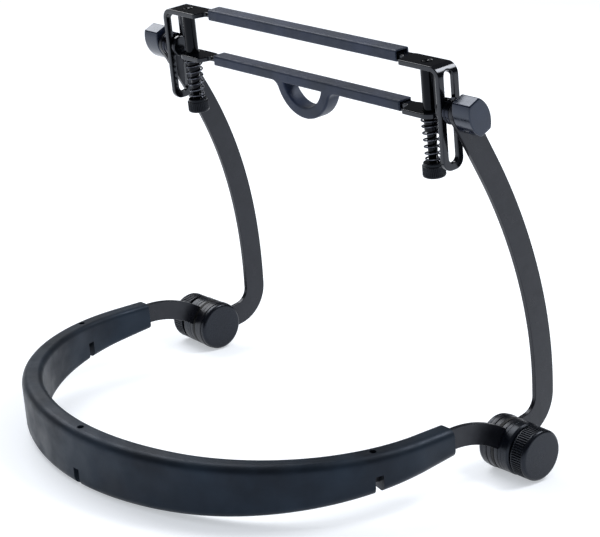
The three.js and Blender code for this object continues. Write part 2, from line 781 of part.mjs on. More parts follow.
// The ring under the lower jaw, flaring into the sleeve's underside
function fingerRingOutline(under) {
  const centre = jawBarTop;
  const outer = fingerRingInner + fingerRingWall;
  const ringSteps = 10;
  const flare = fingerRingFlare;
  const drop = centre - (under - flare);
  const flareReach = Math.sqrt((outer + flare) ** 2 - drop ** 2);
  const meet = Math.atan2(drop, flareReach);
  const innerDrop = centre - under;
  const innerMeet = Math.asin(innerDrop / fingerRingInner);
  return [
    [flareReach, under + lowerSleeveUnder],
    [flareReach, under],
    ...arcPoints(flareReach, under - flare, flare, Math.PI / 2, Math.PI - meet, arcSteps).slice(1),
    ...arcPoints(0, centre, outer, -meet, meet - Math.PI, 2 * ringSteps).slice(1, -1),
    ...arcPoints(-flareReach, under - flare, flare, meet, Math.PI / 2, arcSteps),
    [-flareReach, under + lowerSleeveUnder],
    [-fingerRingInner * Math.cos(innerMeet), under + lowerSleeveUnder],
    ...arcPoints(0, centre, fingerRingInner, innerMeet - Math.PI, -innerMeet, 2 * ringSteps),
    [fingerRingInner * Math.cos(innerMeet), under + lowerSleeveUnder],
  ];
}

function makeLowerSleeve() {
  const skin = sleeveSkin(lowerSleeveBottom, jawBarTop + lowerSleeveOver);
  const outline = fingerRingOutline(lowerSleeveBottom);
  const ring = solidOf(prism(outline, sleeveBack - sleeveFront, "y", sleeveFront));
  return geometryOf(skin.add(ring).subtract(sleeveBore(jawBarTop)));
}

function makeJawBar() {
  const reach = postPlane + earOverPost;
  const half = strapWidth / 2;
  const bar = solidOf(prism(jawPlan(reach), strapThickness, "z", jawBarTop - strapThickness));
  const ends = roundedRectangle(-reach, reach, -half, half, earOverPost - clearance);
  const low = jawBarTop - strapThickness - overrun;
  let solid = bar.intersect(solidOf(prism(ends, strapThickness + 2 * overrun, "z", low)));
  for (const side of [-1, 1]) {
    const hole = turnedAlongZ(rodProfile(postRadius + clearance, -overrun, overrun), smallSteps);
    solid = solid.subtract(solidOf(hole.translate(side * postPlane, 0, jawBarTop)));
  }
  return geometryOf(solid);
}

// A stepped post: riveted through the strap, thick where the jaw slides, then a thin rod
function makePost(side) {
  const shoulder = bracketTopRise - strapThickness - clearance;
  const rodEnd = -nutTopDrop - nutLength;
  const profile = [
    [0, rodEnd], [rodRadius - edgeBreak, rodEnd], [rodRadius, rodEnd + edgeBreak],
    [rodRadius, -postShoulderDrop - edgeBreak], [postRadius, -postShoulderDrop + edgeBreak],
    [postRadius, shoulder], [postSpigotRadius, shoulder], [postSpigotRadius, bracketTopRise],
    [postSpigotRadius - edgeBreak, bracketTopRise + postHeadRise], [0, bracketTopRise + postHeadRise],
  ];
  return turnedAlongZ(profile, smallSteps).translate(side * postPlane, 0, 0);
}

// The spring's middle line: open coils that close up at both ends
const springTop = jawBarTop - strapThickness - clearance - springWireRadius;
const springBottom = -nutTopDrop + clearance + springWireRadius;
const springCoilRadius = postRadius + springPlay + springWireRadius;

function springHeight(turn) {
  const openTurns = springTurns - 2;
  const openPitch = (springTop - springBottom - 2 * springEndPitch) / openTurns;
  if (turn < 1) return springBottom + springEndPitch * turn;
  if (turn > springTurns - 1) return springTop - springEndPitch * (springTurns - turn);
  return springBottom + springEndPitch + openPitch * (turn - 1);
}

function springPoint(turn) {
  const angle = 2 * Math.PI * turn;
  return new THREE.Vector3(
    springCoilRadius * Math.cos(angle), springCoilRadius * Math.sin(angle), springHeight(turn),
  );
}

function makeSpring(side) {
  const steps = springTurns * turnSteps;
  const stations = [];
  for (let i = 0; i <= steps; i += 1) {
    const angle = 2 * Math.PI * i / turnSteps;
    stations.push({
      place: springPoint(i / turnSteps),
      across: new THREE.Vector3(Math.cos(angle), Math.sin(angle), 0),
      up: new THREE.Vector3(0, 0, 1),
    });
  }
  const section = arcPoints(0, 0, springWireRadius, 0, 2 * Math.PI, wireSides).slice(0, -1);
  return sweep(stations, section).translate(side * postPlane, 0, 0);
}

// Least clear distance between one coil and the next, measured on points
function springGap() {
  const samples = 40;
  let least = Infinity;
  const points = [];
  for (let i = 0; i <= springTurns * samples; i += 1) points.push(springPoint(i / samples));
  for (let i = 0; i < points.length; i += 1) {
    for (let j = i + samples / 2; j < points.length; j += 1) {
      least = Math.min(least, points[i].distanceTo(points[j]));
    }
  }
  return least - 2 * springWireRadius;
}

function makeNut(side) {
  const top = -nutTopDrop;
  const bottom = top - nutLength;
  const knurled = nutRadius - nutRidgeDepth;
  const round = nutRimRadius;
  const rim = arcPoints(nutRadius - round, bottom + round, round, -Math.PI / 2, 0, rimSteps);
  const body = solidOf(turnedAlongZ([
    [0, bottom], ...rim, [nutRadius, top - nutCollarLength],
    [knurled, top - nutCollarLength], [knurled, top - edgeBreak],
    [knurled - edgeBreak, top], [0, top],
  ], nutRidges));
  const ridges = ridgedOutline(nutRadius, nutRidges, nutRidgeDepth);
  const ridged = prism(ridges, nutLength + 2 * overrun, "z", bottom - overrun);
  const hole = turnedAlongZ(rodProfile(rodRadius + clearance, bottom - overrun, top + overrun), holeSteps);
  const solid = body.intersect(solidOf(ridged)).subtract(solidOf(hole));
  return geometryOf(solid).translate(side * postPlane, 0, 0);
}

// The pivot bolt: round head inside the plate, square neck in the slot, shank through the arm
const wingStart = armTopPlane + strapThickness / 2 + clearance;

function makePivotBolt(side) {
  const headEnd = plateOuter - strapThickness - clearance;
  const headStart = headEnd - pivotHeadLength;
  const shankEnd = wingStart + wingDepth - wingEndWall - clearance;
  const profile = [
    [0, headStart],
    ...arcPoints(pivotHeadRadius - edgeBreak, headStart + edgeBreak, edgeBreak, -Math.PI / 2, 0, rimSteps),
    [pivotHeadRadius, headEnd], [pivotBoltRadius, headEnd],
    [pivotBoltRadius, shankEnd - edgeBreak], [pivotBoltRadius - edgeBreak, shankEnd], [0, shankEnd],
  ];
  const round = solidOf(turnedAlongX(profile, smallSteps, side));
  const neckLength = strapThickness + clearance;
  const neck = new THREE.BoxGeometry(neckLength, pivotSquare, pivotSquare);
  neck.translate(side * (headEnd + neckLength / 2), 0, 0);
  return geometryOf(round.add(solidOf(neck)));
}

function makePivotCollar(side) {
  const start = plateOuter + clearance;
  const end = armTopPlane - strapThickness / 2 - clearance;
  const inner = pivotBoltRadius + clearance;
  const outer = pivotCollarRadius;
  const profile = [
    [inner, start], [outer - edgeBreak, start], [outer, start + edgeBreak],
    [outer, end - edgeBreak], [outer - edgeBreak, end], [inner, end], [inner, start],
  ];
  return turnedAlongX(profile, smallSteps, side);
}

// The wing knob's outline: two long bulging sides and two short flat ends
function wingOutline(inset) {
  const halfLength = wingLength / 2 - inset;
  const halfEnd = wingEndWidth / 2 - inset;
  const halfWidth = wingWidth / 2 - inset;
  const bulge = halfWidth - halfEnd;
  const radius = (halfLength ** 2 + bulge ** 2) / (2 * bulge);
  const reach = Math.asin(halfLength / radius);
  return [
    ...arcPoints(halfWidth - radius, 0, radius, -reach, reach, 2 * arcSteps),
    ...arcPoints(radius - halfWidth, 0, radius, Math.PI - reach, Math.PI + reach, 2 * arcSteps),
  ];
}

function makeWingKnob(side) {
  const edge = wingEdgeRadius;
  const layers = [[edge, 0], [0, edge], [0, wingDepth - edge], [edge, wingDepth]];
  const rings = layers.map(([inset, along]) => wingOutline(inset).map(
    ([a, b]) => new THREE.Vector3(side * (wingStart + along), a, b),
  ));
  const bore = insertRadius(pivotBoltRadius) + clearance;
  const depth = wingDepth - wingEndWall;
  const pocket = turnedAlongX(rodProfile(bore, -overrun, depth), smallSteps, side);
  const solid = solidOf(loft(rings)).subtract(solidOf(pocket.translate(side * wingStart, 0, 0)));
  return geometryOf(solid).rotateX(wingLean - clampTilt);
}

function makeWingInsert(side) {
  const length = wingDepth - wingEndWall - clearance;
  const profile = ringProfile(
    pivotBoltRadius + clearance, insertRadius(pivotBoltRadius), wingStart, wingStart + length,
  );
  return turnedAlongX(profile, smallSteps, side);
}

// Assembly
clamp.position.set(0, pivot.y, pivot.z);
clamp.rotation.x = clampTilt;

addPiece("neck_strip", makeNeckStrip(), steelBlack);
addPiece("neck_band", makeNeckBand(), softBand);
for (const [word, side] of [["left", -1], ["right", 1]]) {
  addPiece(`${word}_arm`, makeArm(side), steelBlack);
  addPiece(`${word}_hub_cap`, makeHubCap(side), knobPlastic);
  addPiece(`${word}_hub_bolt`, makeHubBolt(side), brightSteel);
  addPiece(`${word}_hub_spacer`, makeHubRing(spacerStart, spacerLength, side), steelBlack);
  addPiece(`${word}_hub_friction_disc`, makeHubRing(frictionDiscStart, frictionDiscLength, side), fibre);
  addPiece(`${word}_hub_collar`, makeHubCollar(side), knobPlastic);
  addPiece(`${word}_hub_disc_spring`, makeDiscSpring(side), brightSteel);
  addPiece(`${word}_hub_knob`, makeHubKnob(side), knobPlastic);
  addPiece(`${word}_hub_knob_insert`, makeHubKnobInsert(side), brass);
  addPiece(`${word}_pivot_bolt`, makePivotBolt(side), glossBlack, clamp);
  addPiece(`${word}_pivot_collar`, makePivotCollar(side), brightSteel, clamp);
  addPiece(`${word}_wing_knob`, makeWingKnob(side), knobPlastic, clamp);
  addPiece(`${word}_wing_knob_insert`, makeWingInsert(side), brass, clamp);
  addPiece(`${word}_guide_post`, makePost(side), glossBlack, clamp);
  addPiece(`${word}_jaw_spring`, makeSpring(side), springSteel, clamp);
  addPiece(`${word}_jaw_nut`, makeNut(side), glossBlack, clamp);
}
addPiece("clamp_bracket", makeBracket(), glossBlack, clamp);
addPiece("upper_jaw_sleeve", makeUpperSleeve(), sleeveRubber, clamp);
addPiece("lower_jaw_bar", makeJawBar(), glossBlack, clamp);
addPiece("lower_jaw_sleeve", makeLowerSleeve(), sleeveRubber, clamp);

// Stand the holder on the ground with its origin under the middle of its box
holder.updateMatrixWorld(true);
const box = new THREE.Box3().setFromObject(holder, true);
const middle = box.getCenter(new THREE.Vector3());
holder.position.set(-middle.x, -middle.y, -box.min.z);

console.log(`least gap between spring coils ${springGap().toFixed(2)} mm`);

export default holder;
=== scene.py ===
"""Neck holder for a mouth organ: its visible pieces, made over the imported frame."""

from __future__ import annotations

import bisect
import json
import logging
import math
from collections.abc import Callable, Iterable, Sequence
from dataclasses import dataclass, field
from enum import Enum

import bmesh
import bpy
from bmesh.types import BMEdge, BMesh, BMFace, BMVert
from bpy.types import Material, Node, NodeSocket, NodeTree, Object
from mathutils import Matrix, Vector


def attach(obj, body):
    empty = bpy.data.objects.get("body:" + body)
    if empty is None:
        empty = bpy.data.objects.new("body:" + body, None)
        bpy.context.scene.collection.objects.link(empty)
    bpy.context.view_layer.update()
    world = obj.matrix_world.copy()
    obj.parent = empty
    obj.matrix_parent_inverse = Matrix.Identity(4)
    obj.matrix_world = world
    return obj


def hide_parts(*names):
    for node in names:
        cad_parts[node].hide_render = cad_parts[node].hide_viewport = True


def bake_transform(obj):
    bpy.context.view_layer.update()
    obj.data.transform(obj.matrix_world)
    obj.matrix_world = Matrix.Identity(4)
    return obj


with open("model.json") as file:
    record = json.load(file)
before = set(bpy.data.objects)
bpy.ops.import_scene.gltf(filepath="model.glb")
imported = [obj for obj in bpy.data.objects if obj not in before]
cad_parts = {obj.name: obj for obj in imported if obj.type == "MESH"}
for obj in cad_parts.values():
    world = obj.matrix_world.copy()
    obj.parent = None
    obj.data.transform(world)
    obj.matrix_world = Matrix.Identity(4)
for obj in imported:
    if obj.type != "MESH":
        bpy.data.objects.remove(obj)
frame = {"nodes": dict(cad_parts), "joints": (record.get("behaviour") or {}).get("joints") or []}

LOG = logging.getLogger("holder")
MM = 0.001
QUARTER_TURN = math.pi / 2.0
FULL_TURN = 2.0 * math.pi
ORIGIN = (0.0, 0.0, 0.0)
AXIS_X = Vector((1.0, 0.0, 0.0))
AXIS_Y = Vector((0.0, 1.0, 0.0))
AXIS_Z = Vector((0.0, 0.0, 1.0))

# Settings of the finishes, on a scale from 0 to 1 or as a factor

COAT_ROUGHNESS = 0.12
SHEEN_ROUGHNESS = 0.4
MOTTLE_SPAN = (0.36, 0.64)
POLISH_SPAN = (0.3, 0.7)
POLISH_FINENESS = 2.3
SPARK_SMOOTHNESS = 0.6
MOTTLE_DETAIL = 4.0
POLISH_DETAIL = 6.0
RELIEF_DETAIL = 2.0

# Sizes that several sub-assemblies share, in millimetres

STRAP_WIDTH = 12.5
STRAP_THICKNESS = 2.5
PLATE_OUTER = 101.5
CLEARANCE = 0.3

# Tolerances of the shaping, in millimetres

TOUCH = 0.001
WELD = 0.0005
ON_PLANE = 0.00001
OVERRUN = 5.0
CORNER_STEPS = 5
RIDGE_SKIN = 0.05
RIDGE_SHARPNESS = 1.5


class Side(Enum):
    """The wearer's two sides, with the sign of X on each."""

    LEFT = -1
    RIGHT = 1

    @property
    def word(self) -> str:
        """The word that starts the names of this side's nodes."""
        return self.name.lower()


class Grain(Enum):
    """The kind of fine relief that a finish has."""

    NOISE = "soft noise"
    SPARKED = "sparked mould"


# Shader nodes


def feed(tree: NodeTree, node: Node, inputs: dict[str | int, object]) -> None:
    """Link each of a node's inputs to the socket given for it, or set it to the value given."""
    for key, given in inputs.items():
        if isinstance(given, NodeSocket):
            tree.links.new(given, node.inputs[key])
        else:
            node.inputs[key].default_value = given


def add_node(
    tree: NodeTree, kind: str, inputs: dict[str | int, object], **settings: str
) -> Node:
    """Add a node to a tree.

    Args:
        tree: The tree that it joins.
        kind: The node's type.
        inputs: A socket or a value for each input, by name or number.
        settings: The node's own choices, made before its inputs are fed.

    Returns:
        The node.
    """
    made = tree.nodes.new(kind)
    for name, choice in settings.items():
        setattr(made, name, choice)
    feed(tree, made, inputs)
    return made


def noise(tree: NodeTree, place: NodeSocket, scale: float, detail: float) -> NodeSocket:
    """Noise of one scale.

    Args:
        tree: The material's nodes.
        place: The coordinates that it reads.
        scale: Repeats per metre.
        detail: How many finer layers it has.

    Returns:
        The socket that gives its strength.
    """
    inputs = {"Vector": place, "Scale": scale, "Detail": detail}
    return add_node(tree, "ShaderNodeTexNoise", inputs).outputs["Fac"]


def ramp(
    tree: NodeTree, factor: NodeSocket, stops: Sequence[tuple[float, Sequence[float]]]
) -> NodeSocket:
    """Colours that change with a factor.

    Args:
        tree: The nodes that it joins.
        factor: The socket that it reads.
        stops: Place and colour of each stop.

    Returns:
        The socket that gives the colour.
    """
    made = add_node(tree, "ShaderNodeValToRGB", {"Fac": factor})
    elements = made.color_ramp.elements
    while len(elements) < len(stops):
        elements.new(0.5)
    for element, (place, colour) in zip(elements, stops):
        element.position = place
        element.color = colour
    return made.outputs["Color"]


def any_ray(tree: NodeTree, *kinds: str) -> NodeSocket:
    """A socket that gives 1 for a ray of any of the kinds, and 0 for every other ray."""
    rays = add_node(tree, "ShaderNodeLightPath", {})
    found = rays.outputs[kinds[0]]
    for kind in kinds[1:]:
        pair = {0: found, 1: rays.outputs[kind]}
        found = add_node(tree, "ShaderNodeMath", pair, operation="MAXIMUM").outputs[0]
    return found


# Finishes


def linear(code: str) -> tuple[float, float, float, float]:
    """Turn six hexadecimal digits into a shader's linear red, green, blue and an alpha of one."""
    parts = [int(code[i : i + 2], 16) / 255.0 for i in (0, 2, 4)]
    values = [p / 12.92 if p <= 0.04045 else ((p + 0.055) / 1.055) ** 2.4 for p in parts]
    return values[0], values[1], values[2], 1.0


@dataclass(frozen=True)
class Finish:
    """A surface finish, with the small unevenness that a real one shows.

    Scales are in repeats per metre and depths in metres, on Object coordinates.
    """

    name: str
    slot: str
    colour: str
    shade: str
    roughness: tuple[float, float]
    metallic: float = 0.0
    coat: float = 0.0
    sheen: float = 0.0
    specular: float = 0.5
    # Colour of the reflections. On the dark finishes it is bluish: a painted tint that stands in
    # for bluish light round the object.
    tint: str = "ffffff"
    grain: Grain = Grain.NOISE
    grain_scale: float = 1500.0
    grain_depth: float = 0.00001
    wave_scale: float = 60.0
    wave_depth: float = 0.0
    mottle_scale: float = 90.0
    stretch: tuple[float, float, float] = (1.0, 1.0, 1.0)

    def material(self) -> Material:
        """Make the node material once, and hand out the same one afterwards."""
        found = bpy.data.materials.get(self.name)
        if found is not None:
            return found
        made = bpy.data.materials.new(self.name)
        made.use_nodes = True
        made.diffuse_color = linear(self.colour)
        tree = made.node_tree
        source = add_node(tree, "ShaderNodeTexCoord", {}).outputs["Object"]
        mapping = {"Vector": source, "Scale": self.stretch}
        place = add_node(tree, "ShaderNodeMapping", mapping).outputs["Vector"]
        feed(tree, tree.nodes["Principled BSDF"], {
            "Base Color": self._mottle(tree, place),
            "Roughness": self._polish(tree, place),
            "Normal": self._relief(tree, place),
            "Metallic": self.metallic,
            "Coat Weight": self.coat,
            "Coat Roughness": COAT_ROUGHNESS,
            "Sheen Weight": self.sheen,
            "Sheen Roughness": SHEEN_ROUGHNESS,
            "Specular IOR Level": self.specular,
            # The bluish reflection tint is painted light colour, not a property of the black
            # coatings.
            "Specular Tint": linear(self.tint),
        })
        return made

    def _mottle(self, tree: NodeTree, place: NodeSocket) -> NodeSocket:
        """Let the colour drift softly between its two tones."""
        drift = noise(tree, place, self.mottle_scale, MOTTLE_DETAIL)
        tones = (linear(self.shade), linear(self.colour))
        return ramp(tree, drift, list(zip(MOTTLE_SPAN, tones)))

    def _polish(self, tree: NodeTree, place: NodeSocket) -> NodeSocket:
        """Let the roughness drift between its two values."""
        spread = {
            "Value": noise(tree, place, self.mottle_scale * POLISH_FINENESS, POLISH_DETAIL),
            "From Min": POLISH_SPAN[0], "From Max": POLISH_SPAN[1],
            "To Min": self.roughness[0], "To Max": self.roughness[1],
        }
        return add_node(tree, "ShaderNodeMapRange", spread).outputs["Result"]

    def _relief(self, tree: NodeTree, place: NodeSocket) -> NodeSocket:
        """Fine grain, over slow waves where the finish has them."""
        if self.grain is Grain.SPARKED:
            cells = {"Vector": place, "Scale": self.grain_scale, "Smoothness": SPARK_SMOOTHNESS}
            voronoi = add_node(tree, "ShaderNodeTexVoronoi", cells, feature="SMOOTH_F1")
            height = voronoi.outputs["Distance"]
        else:
            height = noise(tree, place, self.grain_scale, RELIEF_DETAIL)
        fine = {"Distance": self.grain_depth, "Height": height}
        if self.wave_depth > 0.0:
            swell = noise(tree, place, self.wave_scale, RELIEF_DETAIL)
            slow = {"Distance": self.wave_depth, "Height": swell}
            fine["Normal"] = add_node(tree, "ShaderNodeBump", slow).outputs["Normal"]
        return add_node(tree, "ShaderNodeBump", fine).outputs["Normal"]


STRAP_COAT = Finish(
    "satin_black_coat", "black_steel", "13141a", "0b0c11", (0.26, 0.38),
    specular=0.45, tint="eaeffa",
    grain_scale=1500.0, grain_depth=0.000016, wave_scale=130.0, wave_depth=0.00002,
)
GLOSS_ENAMEL = Finish(
    "gloss_black_enamel", "gloss_black_steel", "07080c", "040508", (0.1, 0.18),
    coat=0.2, specular=0.42, tint="e4ecfb",
    grain_scale=900.0, grain_depth=0.000006, wave_scale=160.0, wave_depth=0.000015,
)
# Painted shade: a darker, less reflective copy of the bracket's gloss enamel, so that the posts'
# fronts render near black in place of a dark reflection.
POST_ENAMEL_PAINTED_SHADE = Finish(
    "post_enamel_painted_shade", "gloss_black_steel", "050608", "030405", (0.08, 0.14),
    specular=0.16, tint="e4ecfb", grain_scale=900.0, grain_depth=0.000004,
)
BAND_RUBBER = Finish(
    "soft_band_rubber", "band_rubber", "19242f", "0d131a", (0.36, 0.58),
    sheen=0.05, specular=0.3, tint="d0e0fb",
    grain=Grain.SPARKED, grain_scale=2400.0, grain_depth=0.000018,
    wave_scale=34.0, wave_depth=0.00024, mottle_scale=34.0,
)
SLEEVE_RUBBER = Finish(
    "slate_sleeve_rubber", "sleeve_rubber", "1f2940", "172031", (0.44, 0.56),
    sheen=0.18, specular=0.42, tint="dfe9fb",
    grain=Grain.SPARKED, grain_scale=2600.0, grain_depth=0.000014,
    wave_scale=70.0, wave_depth=0.00006, mottle_scale=70.0,
)
HUB_PLASTIC = Finish(
    "moulded_black_plastic", "black_plastic", "0b0e15", "080a10", (0.24, 0.34),
    specular=0.38, tint="dfe9fb",
    grain=Grain.SPARKED, grain_scale=3200.0, grain_depth=0.00001, mottle_scale=120.0,
)
NUT_PLASTIC = Finish(
    "dull_black_plastic", "black_plastic", "080a0e", "050609", (0.3, 0.4),
    specular=0.26, tint="dfe9fb",
    grain=Grain.SPARKED, grain_scale=3200.0, grain_depth=0.00001, mottle_scale=120.0,
)
GRIP_PLASTIC = Finish(
    "polished_grip_plastic", "black_plastic", "141b2c", "101623", (0.15, 0.22),
    specular=0.66, tint="dde9ff",
    grain=Grain.SPARKED, grain_scale=3000.0, grain_depth=0.000008, mottle_scale=140.0,
)
BRIGHT_ZINC = Finish(
    "bright_zinc", "zinc_steel", "b4b6bb", "9a9ca2", (0.18, 0.34), metallic=1.0,
    grain_scale=700.0, grain_depth=0.000006, stretch=(9.0, 1.0, 1.0),
)
DARK_ZINC = Finish(
    "darkened_zinc", "zinc_steel", "33363f", "26292f", (0.14, 0.26), metallic=1.0,
    grain_scale=700.0, grain_depth=0.000006, stretch=(9.0, 1.0, 1.0),
)
SPRING_WIRE = Finish(
    "oiled_spring_wire", "spring_steel", "62656e", "35373e", (0.12, 0.24), metallic=1.0,
    grain_scale=1200.0, grain_depth=0.000008, mottle_scale=400.0,
)
WASHER_FIBRE = Finish(
    "pressed_fibre", "friction_fibre", "101114", "0b0c0e", (0.6, 0.75),
    grain_scale=2600.0, grain_depth=0.00003, mottle_scale=900.0,
)
INSERT_BRASS = Finish(
    "turned_brass", "insert_brass", "b28a48", "9a7438", (0.25, 0.4), metallic=1.0,
    grain_scale=900.0, grain_depth=0.000008, stretch=(8.0, 1.0, 1.0),
)


# Ways of shaping a mesh, all in millimetres


def polar(x: float, y: float, radius: float, angle: float) -> tuple[float, float]:
    """The point at a distance and direction from a centre."""
    return x + radius * math.cos(angle), y + radius * math.sin(angle)


class Pen:
    """Draws one closed outline on the XY plane by pulling a corner along."""

    def __init__(self, bm: BMesh, x: float, y: float) -> None:
        """Put the pen down at the outline's first corner."""
        self.bm = bm
        self.first = bm.verts.new((x, y, 0.0))
        self.tip = self.first

    def line_to(self, x: float, y: float) -> Pen:
        """Pull a straight edge to a point."""
        made = bmesh.ops.extrude_vert_indiv(self.bm, verts=[self.tip])["verts"]
        bmesh.ops.translate(self.bm, verts=made, vec=Vector((x, y, 0.0)) - self.tip.co)
        self.tip = made[0]
        return self

    def ahead(self, angle: float, length: float) -> Pen:
        """Pull a straight edge of a length in a direction."""
        return self.line_to(*polar(self.tip.co.x, self.tip.co.y, length, angle))

    def arc(self, x: float, y: float, angle: float, steps: int) -> Pen:
        """Turn the corner about a centre.

        Args:
            x: The centre's X.
            y: The centre's Y.
            angle: Turn in radians, anticlockwise where positive.
            steps: How many edges the arc has.

        Returns:
            The pen itself.
        """
        made = bmesh.ops.spin(
            self.bm, geom=[self.tip], cent=(x, y, 0.0), axis=AXIS_Z, angle=angle, steps=steps
        )["geom_last"]
        self.tip = next(item for item in made if isinstance(item, BMVert))
        return self

    def close(self) -> None:
        """Join the last corner to the first."""
        if (self.tip.co - self.first.co).length < TOUCH:
            bmesh.ops.weld_verts(self.bm, targetmap={self.tip: self.first})
        else:
            self.bm.edges.new((self.tip, self.first))


def round_hole(bm: BMesh, x: float, y: float, radius: float, steps: int = 40) -> None:
    """Draw a round hole's edge on the XY plane."""
    place = Matrix.Translation((x, y, 0.0))
    bmesh.ops.create_circle(bm, cap_ends=False, segments=steps, radius=radius, matrix=place)


def round_off(
    bm: BMesh, chosen: Sequence[BMVert] | Sequence[BMEdge], radius: float, segments: int
) -> None:
    """Round the corners of an outline, or the edges of a solid."""
    solid = isinstance(chosen[0], BMEdge)
    bmesh.ops.bevel(
        bm, geom=chosen, offset=radius, offset_type="OFFSET", segments=segments, profile=0.5,
        affect="EDGES" if solid else "VERTICES", material=-1, clamp_overlap=solid,
    )


def along_x(edge: BMEdge) -> bool:
    """Whether an edge runs along X."""
    way = edge.verts[1].co - edge.verts[0].co
    return abs(way.x) > 0.9 * way.length


def lift(bm: BMesh, height: float) -> None:
    """Move a whole mesh up."""
    bmesh.ops.translate(bm, verts=bm.verts[:], vec=AXIS_Z * height)


def plate(bm: BMesh, thickness: float, rim: float, segments: int = 2) -> None:
    """Fill the outlines on the XY plane and thicken them upwards, with rounded rims.

    Args:
        bm: Holds the outline and the edges of its holes.
        thickness: Whole height from Z = 0.
        rim: Radius of the rims.
        segments: How many facets round each rim.
    """
    bmesh.ops.triangle_fill(
        bm, use_beauty=True, use_dissolve=False, edges=bm.edges[:], normal=AXIS_Z
    )
    under = bm.faces[:]
    made = bmesh.ops.extrude_face_region(bm, geom=under)["geom"]
    lifted = [item for item in made if isinstance(item, BMVert)]
    over = [item for item in made if isinstance(item, BMFace)]
    bmesh.ops.translate(bm, verts=lifted, vec=AXIS_Z * (thickness - 2.0 * rim))
    bmesh.ops.recalc_face_normals(bm, faces=bm.faces[:])
    for cap in (under, over):
        for i in range(segments):
            near = QUARTER_TURN * i / segments
            far = QUARTER_TURN * (i + 1) / segments
            bmesh.ops.inset_region(
                bm, faces=cap, use_boundary=True, use_even_offset=True,
                thickness=rim * (math.cos(near) - math.cos(far)),
                depth=rim * (math.sin(far) - math.sin(near)),
            )
    lift(bm, rim)


def cut_across(bm: BMesh, axis: Vector, places: Iterable[float]) -> None:
    """Cut every face along planes square to an axis, so that it can bend there."""
    for place in places:
        everything = bm.verts[:] + bm.edges[:] + bm.faces[:]
        bmesh.ops.bisect_plane(
            bm, geom=everything, dist=ON_PLANE, plane_co=axis * place, plane_no=axis
        )


def bend(bm: BMesh, place: Callable[[Vector], Vector]) -> None:
    """Move every corner to where a mapping puts it."""
    for vert in bm.verts:
        vert.co = place(vert.co)


def turned(profile: Sequence[tuple[float, float, float]], steps: int = 96) -> BMesh:
    """Turn a profile about the X axis.

    Args:
        profile: Corners as (place along X, radius, radius of the corner's rounding).
        steps: How many facets a full turn has.

    Returns:
        A new closed mesh.
    """
    bm = bmesh.new()
    corners = [bm.verts.new((along, radius, 0.0)) for along, radius, _ in profile]
    for pair in zip(corners, corners[1:]):
        bm.edges.new(pair)
    for corner, (_, _, rounding) in zip(corners, profile):
        if rounding > 0.0:
            round_off(bm, [corner], rounding, CORNER_STEPS)
    chain = bm.edges[:] + [v for v in bm.verts if v.link_edges]
    bmesh.ops.spin(
        bm, geom=chain, cent=ORIGIN, axis=AXIS_X, angle=FULL_TURN, steps=steps, use_merge=True
    )
    bmesh.ops.remove_doubles(bm, verts=bm.verts[:], dist=WELD)
    bmesh.ops.recalc_face_normals(bm, faces=bm.faces[:])
    return bm


def stand_up(bm: BMesh) -> BMesh:
    """Turn a mesh that lies along X so that it stands along Z, and hand it back."""
    upright = Matrix.Rotation(-QUARTER_TURN, 3, "Y")
    bmesh.ops.rotate(bm, verts=bm.verts[:], cent=ORIGIN, matrix=upright)
    return bm


def knurl(bm: BMesh, start: float, end: float, radius: float, count: int, depth: float) -> None:
    """Press straight ridges into a turned face that lies along X.

    Args:
        bm: The turned mesh.
        start: Where the ridges begin along X.
        end: Where they end.
        radius: The face's own radius; corners further in are left alone.
        count: How many ridges there are.
        depth: How deep the grooves between them are.
    """
    for vert in bm.verts:
        reach = math.hypot(vert.co.y, vert.co.z)
        if start < vert.co.x < end and reach > radius - RIDGE_SKIN:
            turn = math.atan2(vert.co.z, vert.co.y)
            groove = 0.5 - 0.5 * math.cos(count * turn)
            scale = 1.0 - depth * groove**RIDGE_SHARPNESS / reach
            vert.co.y *= scale
            vert.co.z *= scale


def block(bm: BMesh, low: Sequence[float], high: Sequence[float]) -> None:
    """Add a box between its lowest and its highest corner."""
    middle = [(a + b) / 2.0 for a, b in zip(low, high)]
    spans = [b - a for a, b in zip(low, high)]
    matrix = Matrix.Translation(middle) @ Matrix.Diagonal((*spans, 1.0))
    bmesh.ops.create_cube(bm, size=1.0, matrix=matrix)


def rod(bm: BMesh, radius: float, length: float, steps: int, place: Matrix) -> None:
    """Add a closed cylinder about the Z axis of its place."""
    bmesh.ops.create_cone(
        bm, cap_ends=True, segments=steps, radius1=radius, radius2=radius, depth=length,
        matrix=place,
    )


def carve(bm: BMesh, cutter: BMesh) -> None:
    """Cut one closed mesh away from another with a Boolean modifier.

    Args:
        bm: The mesh that is cut; it holds the result afterwards.
        cutter: Closed bodies that don't touch each other; it is freed.
    """
    holders = []
    for name, source in (("carved", bm), ("cutter", cutter)):
        bmesh.ops.recalc_face_normals(source, faces=source.faces[:])
        mesh = bpy.data.meshes.new(name)
        source.to_mesh(mesh)
        holder = bpy.data.objects.new(name, mesh)
        bpy.context.scene.collection.objects.link(holder)
        holders.append(holder)
    cutter.free()
    carved, tool = holders
    modifier = carved.modifiers.new("cut", "BOOLEAN")
    modifier.operation = "DIFFERENCE"
    modifier.solver = "EXACT"
    modifier.object = tool
    graph = bpy.context.evaluated_depsgraph_get()
    result = bpy.data.meshes.new_from_object(carved.evaluated_get(graph))
    bm.clear()
    bm.from_mesh(result)
    for holder in holders:
        mesh = holder.data
        bpy.data.objects.remove(holder)
        bpy.data.meshes.remove(mesh)
    bpy.data.meshes.remove(result)


# Pieces and their places


